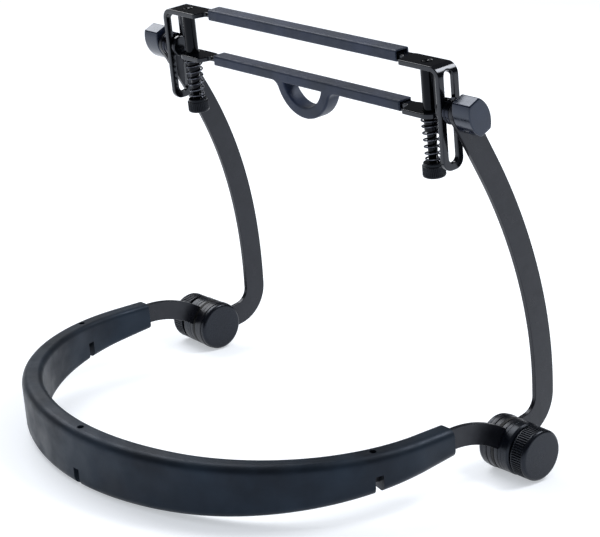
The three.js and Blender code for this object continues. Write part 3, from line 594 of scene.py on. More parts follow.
@dataclass
class Piece:
    """One finished piece: what it rides on, how it looks and what it stands for."""

    name: str
    body: str
    finish: Finish
    stands_for: tuple[str, ...] = ()
    sharp: float = 32.0
    rides: bool = True

    def emit(self, bm: BMesh, place: Matrix) -> Object:
        """Place a mesh in the frame, in metres, and link it into the scene.

        Args:
            bm: The mesh in millimetres; it is freed.
            place: Where it goes, in millimetres.

        Returns:
            The piece's object.
        """
        bmesh.ops.transform(bm, matrix=Matrix.Scale(MM, 4) @ place, verts=bm.verts[:])
        bmesh.ops.recalc_face_normals(bm, faces=bm.faces[:])
        mesh = bpy.data.meshes.new(self.name)
        bm.to_mesh(mesh)
        bm.free()
        mesh.shade_smooth()
        mesh.set_sharp_from_angle(angle=math.radians(self.sharp))
        mesh.materials.append(self.finish.material())
        made = bpy.data.objects.new(self.name, mesh)
        bpy.context.scene.collection.objects.link(made)
        level = made.modifiers.new("flat faces stay flat", "WEIGHTED_NORMAL")
        level.keep_sharp = True
        if self.rides:
            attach(made, self.body)
        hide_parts(*self.stands_for)
        LOG.info("%s: %d faces on %s", self.name, len(mesh.polygons), self.body)
        return made


def joint_place(name: str) -> Matrix:
    """The shift in height and depth to a joint's axis, in millimetres."""
    joint = next(j for j in frame["joints"] if j["name"] == name)
    centre = Vector(joint["pos_m"]) / MM
    return Matrix.Translation((0.0, centre.y, centre.z))


def outwards(side: Side, along: float) -> Matrix:
    """A place at a distance from the middle plane, with its X pointing away from it."""
    turn = Matrix.Rotation(0.0 if side is Side.RIGHT else math.pi, 4, "Z")
    return Matrix.Translation((side.value * along, 0.0, 0.0)) @ turn


def clamp_frame() -> Matrix:
    """The clamp's own frame: its origin on the tilt axis and its Z along the jaw's travel."""
    travel = next(j for j in frame["joints"] if j["name"] == "jaw_slide")
    up = Vector(travel["axis"]).normalized()
    return joint_place("clamp_tilt") @ Matrix.Rotation(math.atan2(-up.y, up.z), 4, "X")


# Sub-assemblies, with their sizes in millimetres


@dataclass
class Neck:
    """The steel neck strip and the rubber band moulded over it."""

    strip_width: float = 10.6
    strip_thickness: float = 2.5
    strip_plane: float = 117.6
    strip_rim: float = 0.35
    strip_spacing: float = 3.0
    eye_radius: float = 12.9
    eye_bore: float = 3.3
    eye_steps: int = 64
    tongue_straight: float = 12.18
    tongue_steps: int = 28
    hub_height: float = 13.2
    thickness: float = 10.6
    back_height: float = 28.7
    end_height: float = 14.2
    end_rise: float = 19.9
    back_angle: float = math.radians(22.7)
    back_steps: int = 40
    side_radius: float = 101.0
    side_steps: int = 100
    straight: float = 16.8
    end_to_hub: float = 45.0
    outer_edge: float = 4.0
    inner_edge: float = 2.6
    outer_steps: int = 8
    inner_steps: int = 6
    end_radius: float = 2.0
    pin_radius: float = 1.7
    pin_depth: float = 3.4
    pin_steps: int = 28
    pin_to_hub: float = 87.7
    notch_width: float = 4.0
    notch_height: float = 9.1
    slit: float = 0.12
    slit_skin: float = 0.01
    core_reach: float = 9.0
    band_spacing: float = 2.4
    lengths: list[float] = field(default_factory=list)
    plan: list[tuple[float, float, float]] = field(default_factory=list)

    def __post_init__(self) -> None:
        """Work out the slope of the neck's plane and the length along its middle line."""
        side_centre = self.strip_plane - self.side_radius
        back_radius = self.side_radius + side_centre / math.sin(self.back_angle)
        side_y = -self.end_to_hub - self.straight
        centre_y = side_y + (back_radius - self.side_radius) * math.cos(self.back_angle)
        self.back_y = centre_y - back_radius
        self.run = -self.end_to_hub - self.back_y
        rise = self.end_rise + (self.end_height - self.back_height) / 2.0
        self.slope = math.atan2(rise, self.run)
        for i in range(self.back_steps + 1):
            angle = self.back_angle * i / self.back_steps
            y = centre_y - back_radius * math.cos(angle)
            self._note(back_radius * math.sin(angle), y, angle)
        for i in range(1, self.side_steps + 1):
            angle = self.back_angle + (QUARTER_TURN - self.back_angle) * i / self.side_steps
            x = side_centre + self.side_radius * math.sin(angle)
            self._note(x, side_y - self.side_radius * math.cos(angle), angle)
        self._note(self.strip_plane, -self.end_to_hub, QUARTER_TURN)
        self.reach = self.lengths[-1]

    def _note(self, x: float, y: float, angle: float) -> None:
        """Add a point of the right half of the plan, with its length from the back."""
        length = 0.0
        if self.plan:
            before = self.plan[-1]
            stretch = (y - before[1]) / math.cos(self.slope)
            length = self.lengths[-1] + math.hypot(x - before[0], stretch)
        self.lengths.append(length)
        self.plan.append((x, y, angle))

    def middle(self, y: float) -> float:
        """Height of the middle line over the hubs' axis."""
        return self.back_height / 2.0 + (y - self.back_y) * math.tan(self.slope) - self.hub_height

    def height(self, along: float) -> float:
        """Height of the band itself at a length from the back."""
        share = (self.plan_at(along)[1] - self.back_y) / self.run
        return self.back_height + (self.end_height - self.back_height) * min(share, 1.0)

    def plan_at(self, along: float) -> tuple[float, float, float]:
        """Plan point and heading at a length from the back.

        Args:
            along: Length along the middle line, negative on the left.

        Returns:
            X, Y and the angle of the outward direction.
        """
        length = min(abs(along), self.reach)
        upper = min(bisect.bisect_right(self.lengths, length), len(self.lengths) - 1)
        low, high = self.lengths[upper - 1], self.lengths[upper]
        share = (length - low) / (high - low)
        x, y, angle = (
            a + (b - a) * share for a, b in zip(self.plan[upper - 1], self.plan[upper])
        )
        side = -1.0 if along < 0.0 else 1.0
        return side * x, y, side * angle

    def wrap(self, flat: Vector) -> Vector:
        """Bend a point of the straight blank round the neck.

        Args:
            flat: Length from the back, height off the middle line and place in the thickness.

        Returns:
            The point, with the hubs' axis at Y = Z = 0.
        """
        x, y, angle = self.plan_at(flat.x)
        tilt = Matrix.Rotation(self.slope, 3, "X")
        place = Vector((x, y, self.middle(y)))
        past = abs(flat.x) - self.reach
        if past > 0.0:
            place += tilt @ (AXIS_Y * past)
        outward = tilt @ Vector((math.sin(angle), -math.cos(angle), 0.0))
        return place + (tilt @ AXIS_Z) * flat.y + outward * flat.z

    def station_of(self, y: float) -> float:
        """Length from the back at which the band's side passes a distance behind the hubs."""
        index = next(i for i, point in enumerate(self.plan) if point[1] > y)
        low, high = self.plan[index - 1], self.plan[index]
        share = (y - low[1]) / (high[1] - low[1])
        return self.lengths[index - 1] + share * (self.lengths[index] - self.lengths[index - 1])

    def cuts(self, spacing: float) -> list[float]:
        """Evenly spaced lengths at which a blank is cut across before it is bent."""
        count = int(self.reach / spacing)
        return [self.reach * i / count for i in range(-count, count + 1)]

    def build_strip(self) -> BMesh:
        """Stamp the strip flat with an eye at each end, then bend it round the neck."""
        half, reach, eye = self.strip_width / 2.0, self.reach, self.eye_radius
        eye_steps, tongue_steps = self.eye_steps, self.tongue_steps
        drop_y = -self.middle(-self.end_to_hub)
        along = self.end_to_hub * math.cos(self.slope) + drop_y * math.sin(self.slope)
        drop = self.end_to_hub * math.sin(self.slope) - drop_y * math.cos(self.slope)
        curve = (along**2 + drop**2 - self.tongue_straight**2) / (2.0 * drop)
        sight = math.hypot(along, curve - drop)
        turn = QUARTER_TURN - math.atan2(curve - drop, along) - math.acos(curve / sight)
        hub_x = reach + along
        spread = math.asin(half / eye)
        around = 2.0 * spread - FULL_TURN
        back = math.pi - turn
        bm = bmesh.new()
        pen = Pen(bm, *polar(hub_x, -drop, eye, back - spread))
        pen.arc(hub_x, -drop, around, eye_steps)
        pen.ahead(back, self.tongue_straight - eye * math.cos(spread))
        pen.arc(reach, -curve, turn, tongue_steps)
        pen.line_to(-reach, -half)
        pen.arc(-reach, -curve, turn, tongue_steps)
        pen.line_to(*polar(-hub_x, -drop, eye, turn - spread))
        pen.arc(-hub_x, -drop, around, eye_steps)
        away = Vector((-math.sin(turn), math.cos(turn)))
        tangent = Vector((-reach, -curve)) + away * (curve + half)
        pen.line_to(tangent.x, tangent.y)
        pen.arc(-reach, -curve, -turn, tongue_steps)
        pen.line_to(reach, half)
        pen.arc(reach, -curve, -turn, tongue_steps)
        pen.close()
        for centre in (-hub_x, hub_x):
            round_hole(bm, centre, -drop, self.eye_bore)
        plate(bm, self.strip_thickness, self.strip_rim)
        lift(bm, -self.strip_thickness / 2.0)
        cut_across(bm, AXIS_X, self.cuts(self.strip_spacing))
        bend(bm, self.wrap)
        return bm

    def build_band(self) -> BMesh:
        """Mould the band straight, with its slit, pin holes and notches, then bend it."""
        reach, high, wide = self.reach, self.back_height / 2.0, self.thickness / 2.0
        bm = bmesh.new()
        block(bm, (-reach, -high, -wide), (reach, high, wide))
        for face, radius, segments in (
            (1.0, self.outer_edge, self.outer_steps), (-1.0, self.inner_edge, self.inner_steps),
        ):
            sides = [e for e in bm.edges if along_x(e) and e.verts[0].co.z * face > 0.0]
            round_off(bm, sides, radius, segments)
        ends = [e for e in bm.edges if all(abs(abs(v.co.x) - reach) < TOUCH for v in e.verts)]
        round_off(bm, ends, self.end_radius, CORNER_STEPS)
        slit_high = self.strip_width / 2.0 + self.slit
        slit_wide = self.strip_thickness / 2.0 + self.slit
        past = reach + OVERRUN
        cutter = bmesh.new()
        block(cutter, (-past, -slit_high, -slit_wide), (past, slit_high, slit_wide))
        side = self.station_of(-self.pin_to_hub)
        stations = (-side, 0.0, side)
        for along in stations:
            upright = Matrix.Rotation(QUARTER_TURN, 4, "X")
            place = Matrix.Translation((along, high, 0.0)) @ upright
            rod(cutter, self.pin_radius, 2.0 * self.pin_depth, self.pin_steps, place)
        carve(bm, cutter)
        cut_across(bm, AXIS_X, self.cuts(self.band_spacing))
        core_high, core_wide = slit_high + self.slit_skin, slit_wide + self.slit_skin

        def drawn_in(flat: Vector) -> Vector:
            """Draw the skin in to the band's own height there, but not the slit's walls."""
            moved = flat.copy()
            if abs(flat.y) > core_high or abs(flat.z) > core_wide:
                off = high - self.height(flat.x) / 2.0
                share = min(abs(flat.y) / self.core_reach, 1.0)
                moved.y -= math.copysign(off * share, flat.y)
            return moved

        bend(bm, drawn_in)
        notches = bmesh.new()
        half = self.notch_width / 2.0
        for along in stations:
            low = -self.height(along) / 2.0
            block(
                notches,
                (along - half, low - OVERRUN, -wide - OVERRUN),
                (along + half, low + self.notch_height, wide + OVERRUN),
            )
        carve(bm, notches)
        bend(bm, self.wrap)
        return bm

    def dress(self) -> None:
        """Make both pieces."""
        place = joint_place("arm_tilt")
        strip = Piece("neck_strip_bent", "neck", STRAP_COAT, ("neck_strip",))
        strip.emit(self.build_strip(), place)
        band = Piece("neck_band_moulded", "neck", BAND_RUBBER, ("neck_band",))
        band.emit(self.build_band(), place)


@dataclass
class Arm:
    """One flat steel arm, stamped on its curve and drawn in towards the clamp."""

    side: Side
    width: float = STRAP_WIDTH
    thickness: float = STRAP_THICKNESS
    rim: float = 0.35
    plane: float = 110.5
    eye_radius: float = 13.2
    eye_steps: int = 72
    square: float = 6.6
    lead_angle: float = math.radians(13.4)
    lead_length: float = 16.4
    heel_radius: float = 13.75
    heel_lean: float = math.radians(4.0)
    heel_steps: int = 26
    sweep_radius: float = 240.0
    sweep_steps: int = 40
    top_lean: float = math.radians(34.3)
    top_length: float = 33.4
    top_steps: int = 28
    pivot_bore: float = 2.8
    toe_in: float = 3.1
    spacing: float = 3.0

    def build(self) -> BMesh:
        """Draw the outline round the eye, the bent bar and its round top, and thicken it."""
        half = self.width / 2.0
        spread = math.asin(half / self.eye_radius)
        heel_turn = QUARTER_TURN + self.heel_lean - self.lead_angle
        sweep_turn = self.top_lean - self.heel_lean
        lead = Vector(polar(0.0, 0.0, 1.0, self.lead_angle))
        heel = lead * self.lead_length + lead.orthogonal() * self.heel_radius
        aside = Vector((-math.sin(self.heel_lean), math.cos(self.heel_lean))).orthogonal()
        sweep = heel - aside * self.heel_radius + aside * self.sweep_radius
        heading = Vector((-math.sin(self.top_lean), math.cos(self.top_lean)))
        sweep_end = sweep - heading.orthogonal() * self.sweep_radius
        pivot = sweep_end + heading * self.top_length
        corner = lead * self.lead_length - lead.orthogonal() * half
        bm = bmesh.new()
        pen = Pen(bm, *polar(0.0, 0.0, self.eye_radius, self.lead_angle + spread))
        pen.arc(0.0, 0.0, FULL_TURN - 2.0 * spread, self.eye_steps)
        pen.line_to(corner.x, corner.y)
        pen.arc(heel.x, heel.y, heel_turn, self.heel_steps)
        pen.arc(sweep.x, sweep.y, sweep_turn, self.sweep_steps)
        pen.ahead(QUARTER_TURN + self.top_lean, self.top_length)
        pen.arc(pivot.x, pivot.y, math.pi, self.top_steps)
        pen.ahead(self.top_lean - QUARTER_TURN, self.top_length)
        pen.arc(sweep.x, sweep.y, -sweep_turn, self.sweep_steps)
        pen.arc(heel.x, heel.y, -heel_turn, self.heel_steps)
        pen.close()
        round_hole(bm, pivot.x, pivot.y, self.pivot_bore)
        reach = self.square / 2.0
        hole = Pen(bm, -reach, -reach)
        hole.line_to(reach, -reach).line_to(reach, reach).line_to(-reach, reach).close()
        plate(bm, self.thickness, self.rim)
        foot, head = self.eye_radius + self.width, sweep_end.y
        count = int((head - foot) / self.spacing) + 2
        cut_across(bm, AXIS_Y, [foot + self.spacing * i for i in range(count)])

        def stand(flat: Vector) -> Vector:
            """Stand the flat blank up and draw it in with its height."""
            share = min(max((flat.y - foot) / (head - foot), 0.0), 1.0)
            drawn = self.toe_in * share * share * (3.0 - 2.0 * share)
            x = self.side.value * (self.plane - drawn) + flat.z - self.thickness / 2.0
            return Vector((x, flat.x, flat.y))

        bend(bm, stand)
        return bm

    def dress(self) -> None:
        """Make the arm."""
        word = self.side.word
        piece = Piece(f"{word}_arm_bar", f"{word}_arm", STRAP_COAT, (f"{word}_arm",))
        piece.emit(self.build(), joint_place("arm_tilt"))


@dataclass
class Hub:
    """The turned pieces of one friction hub, stacked outwards from its inner face."""

    side: Side
    radius: float = 12.95
    bolt_radius: float = 3.0
    gap: float = CLEARANCE
    cap_start: float = 106.2
    cap_length: float = 2.9
    cap_rim: float = 1.7
    cap_pocket: float = 6.8
    cap_pocket_depth: float = 1.55
    spacer_start: float = 111.92
    spacer_length: float = 2.61
    spacer_rim: float = 0.12
    disc_start: float = 114.67
    disc_length: float = 1.53
    disc_rim: float = 0.08
    collar_start: float = 119.0
    collar_length: float = 6.45
    collar_radius: float = 12.85
    collar_chamfer: float = 0.9
    collar_seam: float = 1.95
    collar_seam_depth: float = 0.16
    collar_recess: float = 9.0
    collar_recess_depth: float = 2.75
    knob_start: float = 125.6
    knob_length: float = 10.0
    knob_radius: float = 12.6
    knob_bore: float = 4.9
    knob_boss: float = 10.8
    knob_boss_length: float = 1.3
    knob_rim: float = 1.7
    knob_wall: float = 2.2
    ridges: int = 64
    ridge_depth: float = 0.62
    ridge_steps: int = 6

    def build_cap(self) -> BMesh:
        """Thin round cap with a soft rim on its inner face and a pocket for the bolt's head."""
        end = self.cap_length
        floor = end - self.cap_pocket_depth
        return turned([
            (0.0, 0.0, 0.0), (0.0, self.radius, self.cap_rim), (end, self.radius, 0.2),
            (end, self.cap_pocket, 0.0), (floor, self.cap_pocket, 0.0), (floor, 0.0, 0.0),
        ])

    def build_ring(self, length: float, rim: float) -> BMesh:
        """Flat ring round the bolt."""
        inner = self.bolt_radius + 2.0 * self.gap
        return turned([
            (0.0, inner, 0.0), (0.0, self.radius, rim), (length, self.radius, rim),
            (length, inner, 0.0), (0.0, inner, 0.0),
        ])

    def build_collar(self) -> BMesh:
        """Pressure collar with a fine seam round it and a broad chamfer at its outer end."""
        inner, outer = self.bolt_radius + self.gap, self.collar_radius
        end, chamfer, seam = self.collar_length, self.collar_chamfer, self.collar_seam
        floor = end - self.collar_recess_depth
        return turned([
            (0.0, inner, 0.0), (0.0, outer, 0.15), (seam - 0.1, outer, 0.06),
            (seam, outer - self.collar_seam_depth, 0.0), (seam + 0.1, outer, 0.06),
            (end - chamfer, outer, 0.3), (end, outer - chamfer, 0.2),
            (end, self.collar_recess, 0.0), (floor, self.collar_recess, 0.0),
            (floor, inner, 0.0), (0.0, inner, 0.0),
        ])

    def build_knob(self) -> BMesh:
        """Tightening knob: a boss, a ridged grip, a smooth round rim and a bare flat face."""
        end, grip, bore = self.knob_length, self.knob_radius, self.knob_bore
        boss, first = self.knob_boss, self.knob_boss_length
        last = end - self.knob_rim - 0.25
        floor = end - self.knob_wall
        bm = turned([
            (0.0, bore, 0.0), (0.0, boss, 0.1), (first, boss, 0.0), (first, grip, 0.25),
            (first + 0.45, grip, 0.0), (first + 0.7, grip, 0.0), (last - 0.35, grip, 0.0),
            (last, grip, 0.0), (end, grip, self.knob_rim), (end, 0.0, 0.0),
            (floor, 0.0, 0.0), (floor, bore, 0.0), (0.0, bore, 0.0),
        ], self.ridges * self.ridge_steps)
        knurl(bm, first + 0.6, last - 0.2, grip, self.ridges, self.ridge_depth)
        return bm

    def dress(self) -> None:
        """Make the pieces that show."""
        word = self.side.word
        arm, knob = f"{word}_arm", f"{word}_knob"
        for name, node, body, finish, bm, start in (
            ("hub_cap_turned", "hub_cap", arm, HUB_PLASTIC, self.build_cap(), self.cap_start),
            ("hub_spacer_turned", "hub_spacer", arm, STRAP_COAT,
             self.build_ring(self.spacer_length, self.spacer_rim), self.spacer_start),
            ("hub_disc_pressed", "hub_friction_disc", "neck", WASHER_FIBRE,
             self.build_ring(self.disc_length, self.disc_rim), self.disc_start),
            ("hub_collar_turned", "hub_collar", "neck", HUB_PLASTIC,
             self.build_collar(), self.collar_start),
            ("hub_knob_ridged", "hub_knob", knob, HUB_PLASTIC,
             self.build_knob(), self.knob_start),
        ):
            piece = Piece(f"{word}_{name}", body, finish, (f"{word}_{node}",))
            piece.emit(bm, joint_place("arm_tilt") @ outwards(self.side, start))


@dataclass
class Clamp:
    """The bent bracket with its posts, springs and nuts, and the two sleeved jaws."""

    width: float = STRAP_WIDTH
    thickness: float = STRAP_THICKNESS
    rim: float = 0.45
    rim_steps: int = 3
    plate_outer: float = PLATE_OUTER
    top: float = 21.1
    drop: float = 28.2
    bend_radius: float = 5.5
    bend_steps: int = 14
    corner: float = 5.0
    corner_steps: int = 9
    slot_width: float = 5.8
    slot_top: float = 18.0
    slot_bottom: float = 24.7
    slot_steps: int = 18
    shoulder_outer: float = 75.5
    shoulder_inner: float = 73.5
    shoulder_round: float = 0.8
    core_front: float = 0.0
    core_back: float = 5.6
    post_plane: float = 88.0
    post_bore: float = 2.5
    jaw_bore: float = 3.5
    ear: float = 6.4
    jaw_top: float = -2.1
    sleeve_length: float = 138.0
    sleeve_front: float = -1.5
    sleeve_back: float = 6.9
    sleeve_corner: float = 1.1
    sleeve_steps: int = 4
    sleeve_slack: float = 0.12
    upper_over: float = 2.1
    upper_under: float = 1.0
    lower_over: float = 1.3
    lower_under: float = 1.4
    mouth_depth: float = 3.2
    mouth_wall: float = 0.75
    ring_inner: float = 14.0
    ring_wall: float = 5.9
    ring_flare: float = 5.0
    ring_sink: float = 0.15
    ring_steps: int = 56
    ring_inner_steps: int = 48
    flare_steps: int = 10
    post_radius: float = 3.25
    post_shoulder: float = 12.0
    post_seat: float = 0.05
    post_steps: int = 48
    spigot_radius: float = 2.2
    head_rise: float = 0.25
    rod_radius: float = 2.3
    thread_turns: int = 30
    thread_pitch: float = 0.36
    thread_depth: float = 0.16
    thread_lead: float = 0.4
    nut_top: float = 26.8
    nut_length: float = 6.9
    nut_radius: float = 5.5
    nut_collar: float = 1.3
    nut_ridges: int = 36
    nut_ridge_depth: float = 0.34
    nut_ridge_steps: int = 6
    wire: float = 0.45
    wire_steps: int = 10
    coil: float = 3.9
    turns: float = 7.5
    turn_steps: int = 28
    taper: float = 0.11
    end_pitch: float = 1.45
    gap: float = CLEARANCE

    def bar_outline(self, reach: float, corner: float) -> BMesh:
        """Draw a jaw bar's plan: wide round-cornered ends and a narrow core between shoulders.

        Args:
            reach: Half the bar's whole length.
            corner: Radius of the corners at its ends.

        Returns:
            A new mesh with the outline.
        """
        half, front, back = self.width / 2.0, self.core_front, self.core_back
        outer, inner = self.shoulder_outer, self.shoulder_inner
        bm = bmesh.new()
        pen = Pen(bm, -reach, -half)
        for x, y in (
            (-outer, -half), (-inner, front), (inner, front), (outer, -half), (reach, -half),
            (reach, half), (outer, half), (inner, back), (-inner, back), (-outer, half),
            (-reach, half),
        ):
            pen.line_to(x, y)
        pen.close()
        ends = [v for v in bm.verts if abs(abs(v.co.x) - reach) < TOUCH]
        shoulders = [v for v in bm.verts if v not in ends]
        round_off(bm, ends, corner, self.corner_steps)
        round_off(bm, shoulders, self.shoulder_round, CORNER_STEPS)
        return bm

    def build_bracket(self) -> BMesh:
        """Stamp the strap flat with its slots and post holes, then bend both side plates down."""
        middle = self.bend_radius - self.thickness / 2.0
        arc = middle * QUARTER_TURN
        flat_end = self.plate_outer - self.bend_radius
        bend_low = self.top - self.bend_radius
        reach = flat_end + arc + bend_low + self.drop
        bm = self.bar_outline(reach, self.corner)
        radius = self.slot_width / 2.0
        slot_start = flat_end + middle * math.acos((self.slot_top - bend_low) / middle)
        slot_end = flat_end + arc + bend_low + self.slot_bottom
        for sign in (-1.0, 1.0):
            round_hole(bm, sign * self.post_plane, 0.0, self.post_bore)
            low, high = sorted((sign * (slot_start + radius), sign * (slot_end - radius)))
            slot = Pen(bm, low, radius)
            slot.arc(low, 0.0, math.pi, self.slot_steps).line_to(high, -radius)
            slot.arc(high, 0.0, math.pi, self.slot_steps).close()
        plate(bm, self.thickness, self.rim, self.rim_steps)
        places = [flat_end + arc * i / self.bend_steps for i in range(self.bend_steps + 1)]
        cut_across(bm, AXIS_X, places + [-p for p in places])

        def fold(flat: Vector) -> Vector:
            """Bend a point of the strap round its corner and down its side plate."""
            past = abs(flat.x) - flat_end
            if past <= 0.0:
                return Vector((flat.x, flat.y, self.top - self.thickness + flat.z))
            turn = min(past, arc) / middle
            lever = self.bend_radius - self.thickness + flat.z
            x = flat_end + lever * math.sin(turn)
            z = bend_low + lever * math.cos(turn) - max(past - arc, 0.0)
            return Vector((math.copysign(x, flat.x), flat.y, z))

        bend(bm, fold)
        return bm

    def build_jaw_bar(self) -> BMesh:
        """Lower jaw's bar with an eye round each post."""
        bm = self.bar_outline(self.post_plane + self.ear, self.ear - self.gap)
        for sign in (-1.0, 1.0):
            round_hole(bm, sign * self.post_plane, 0.0, self.jaw_bore)
        plate(bm, self.thickness, self.rim, self.rim_steps)
        lift(bm, self.jaw_top - self.thickness)
        return bm

    def hollow(self, bm: BMesh, bar_top: float, low: float, high: float) -> None:
        """Cut the bar's bore through a sleeve, and a wider mouth at each end.

        Args:
            bm: The solid sleeve.
            bar_top: Height of the bar's upper face.
            low: The sleeve's lower face.
            high: The sleeve's upper face.
        """
        half, slack, wall = self.sleeve_length / 2.0, self.sleeve_slack, self.mouth_wall
        floor, roof = bar_top - self.thickness - slack, bar_top + slack
        past, mouth = half + OVERRUN, half - self.mouth_depth
        bore = bmesh.new()
        front, back = self.core_front - slack, self.core_back + slack
        block(bore, (-past, front, floor), (past, back, roof))
        carve(bm, bore)
        mouths = bmesh.new()
        front, back = self.sleeve_front + wall, self.sleeve_back - wall
        for near, far in ((-past, -mouth), (mouth, past)):
            block(
                mouths, (near, front, min(low + wall, floor)), (far, back, max(high - wall, roof))
            )
        carve(bm, mouths)

    def build_upper_sleeve(self) -> BMesh:
        """Rubber sleeve on the upper jaw."""
        half = self.sleeve_length / 2.0
        low = self.top - self.thickness - self.upper_under
        high = self.top + self.upper_over
        bm = bmesh.new()
        block(bm, (-half, self.sleeve_front, low), (half, self.sleeve_back, high))
        round_off(bm, [e for e in bm.edges if along_x(e)], self.sleeve_corner, self.sleeve_steps)
        self.hollow(bm, self.top, low, high)
        return bm

    def build_lower_sleeve(self) -> BMesh:
        """Rubber sleeve on the lower jaw, with the finger ring flaring out of its underside."""
        half, flare, jaw_top = self.sleeve_length / 2.0, self.ring_flare, self.jaw_top
        high = jaw_top + self.lower_over
        low = jaw_top - self.thickness - self.lower_under
        outer = self.ring_inner + self.ring_wall
        drop = jaw_top - (low - flare)
        reach = math.sqrt((outer + flare) ** 2 - drop**2)
        meet = math.atan2(drop, reach)
        bm = bmesh.new()
        pen = Pen(bm, -half, high)
        pen.line_to(-half, low).line_to(-reach, low)
        pen.arc(-reach, low - flare, meet - QUARTER_TURN, self.flare_steps)
        pen.arc(0.0, jaw_top, math.pi - 2.0 * meet, self.ring_steps)
        pen.arc(reach, low - flare, meet - QUARTER_TURN, self.flare_steps)
        pen.line_to(half, low).line_to(half, high).close()
        inner_meet = math.asin((jaw_top - low + self.ring_sink) / self.ring_inner)
        inner = Pen(bm, *polar(0.0, jaw_top, self.ring_inner, -inner_meet))
        inner.arc(0.0, jaw_top, 2.0 * inner_meet - math.pi, self.ring_inner_steps).close()
        plate(bm, self.sleeve_back - self.sleeve_front, self.sleeve_corner, self.sleeve_steps)
        upright = Matrix.Rotation(QUARTER_TURN, 4, "X")
        stand = Matrix.Translation((0.0, self.sleeve_back, 0.0)) @ upright
        bmesh.ops.transform(bm, matrix=stand, verts=bm.verts[:])
        self.hollow(bm, jaw_top, low, high)
        return bm

    def build_post(self) -> BMesh:
        """Stepped post: threaded rod, thick guide, and a dimpled rivet head on the strap."""
        rod_radius, post, spigot = self.rod_radius, self.post_radius, self.spigot_radius
        bottom = -self.nut_top - self.nut_length
        shoulder = self.top - self.thickness - self.post_seat
        step = -self.post_shoulder
        head = self.top + self.head_rise
        thread = []
        for i in range(self.thread_turns):
            at = bottom + self.thread_lead + self.thread_pitch * i
            thread.append((at, rod_radius - self.thread_depth, 0.0))
            thread.append((at + self.thread_pitch / 2.0, rod_radius, 0.0))
        return stand_up(turned([
            (bottom, 0.0, 0.0), (bottom, rod_radius - 0.2, 0.1), *thread,
            (step - 0.35, rod_radius, 0.0), (step + 0.35, post, 0.15), (shoulder, post, 0.1),
            (shoulder, spigot, 0.0), (head - 0.02, spigot, 0.3), (head, spigot - 0.9, 0.2),
            (head - 0.45, 0.35, 0.2), (head - 0.5, 0.0, 0.0),
        ], self.post_steps))

    def build_spring(self) -> BMesh:
        """Wind the wire, a little wider upwards: a close turn at each end, open coils between."""
        bottom = -self.nut_top + self.gap + self.wire
        top = self.jaw_top - self.thickness - self.gap - self.wire
        across = Matrix.Rotation(QUARTER_TURN, 4, "X")
        start = Matrix.Translation((self.coil, 0.0, bottom)) @ across
        bm = bmesh.new()
        bmesh.ops.create_circle(
            bm, cap_ends=True, segments=self.wire_steps, radius=self.wire, matrix=start
        )
        tip = bm.verts[:] + bm.edges[:] + bm.faces[:]
        open_turns = self.turns - 2.0
        open_pitch = (top - bottom - 2.0 * self.end_pitch) / open_turns
        close_turn = (1.0, self.end_pitch)
        for turns, pitch in (close_turn, (open_turns, open_pitch), close_turn):
            steps = round(self.turn_steps * turns)
            tip = bmesh.ops.spin(
                bm, geom=tip, cent=ORIGIN, axis=AXIS_Z, angle=FULL_TURN * turns,
                dvec=AXIS_Z * (pitch * turns / steps), steps=steps,
            )["geom_last"]
        for vert in bm.verts:
            share = 2.0 * (vert.co.z - bottom) / (top - bottom) - 1.0
            vert.co.x *= 1.0 + self.taper * share
            vert.co.y *= 1.0 + self.taper * share
        return bm

    def build_nut(self) -> BMesh:
        """Ridged nut with a narrow neck under the spring."""
        bore, wide = self.rod_radius + self.gap, self.nut_radius
        top = -self.nut_top
        bottom = top - self.nut_length
        neck = top - self.nut_collar
        bm = turned([
            (bottom, bore, 0.0), (bottom, wide, 0.9), (bottom + 1.2, wide, 0.0),
            (bottom + 1.5, wide, 0.0), (neck - 0.5, wide, 0.0), (neck - 0.25, wide, 0.0),
            (neck, wide - 0.3, 0.1), (neck, wide - 0.6, 0.0), (top, wide - 0.6, 0.3),
            (top, bore, 0.0), (bottom, bore, 0.0),
        ], self.nut_ridges * self.nut_ridge_steps)
        knurl(bm, bottom + 1.3, neck - 0.4, wide, self.nut_ridges, self.nut_ridge_depth)
        return stand_up(bm)

    def dress(self) -> None:
        """Make the clamp's pieces on both sides."""
        place = clamp_frame()
        for name, node, body, finish, bm in (
            ("clamp_bracket_bent", "clamp_bracket", "clamp", GLOSS_ENAMEL, self.build_bracket()),
            ("upper_sleeve_moulded", "upper_jaw_sleeve", "clamp", SLEEVE_RUBBER,
             self.build_upper_sleeve()),
            ("lower_jaw_stamped", "lower_jaw_bar", "lower_jaw", GLOSS_ENAMEL,
             self.build_jaw_bar()),
            ("lower_sleeve_moulded", "lower_jaw_sleeve", "lower_jaw", SLEEVE_RUBBER,
             self.build_lower_sleeve()),
        ):
            Piece(name, body, finish, (node,)).emit(bm, place)
        for side in Side:
            word = side.word
            at = place @ Matrix.Translation((side.value * self.post_plane, 0.0, 0.0))
            # The posts take the darker, less reflective copy of the enamel: painted shade.
            post = Piece(f"{word}_post_turned", "clamp", POST_ENAMEL_PAINTED_SHADE, (f"{word}_guide_post",))
            post.emit(self.build_post(), at)
            nut = Piece(f"{word}_nut_ridged", f"{word}_nut", NUT_PLASTIC, (f"{word}_jaw_nut",))
            nut.emit(self.build_nut(), at)
            spring = Piece(
                f"{word}_spring_wound", "clamp", SPRING_WIRE, (f"{word}_jaw_spring",),
                sharp=50.0, rides=False,
            )
            made = spring.emit(self.build_spring(), at)
            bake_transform(made)


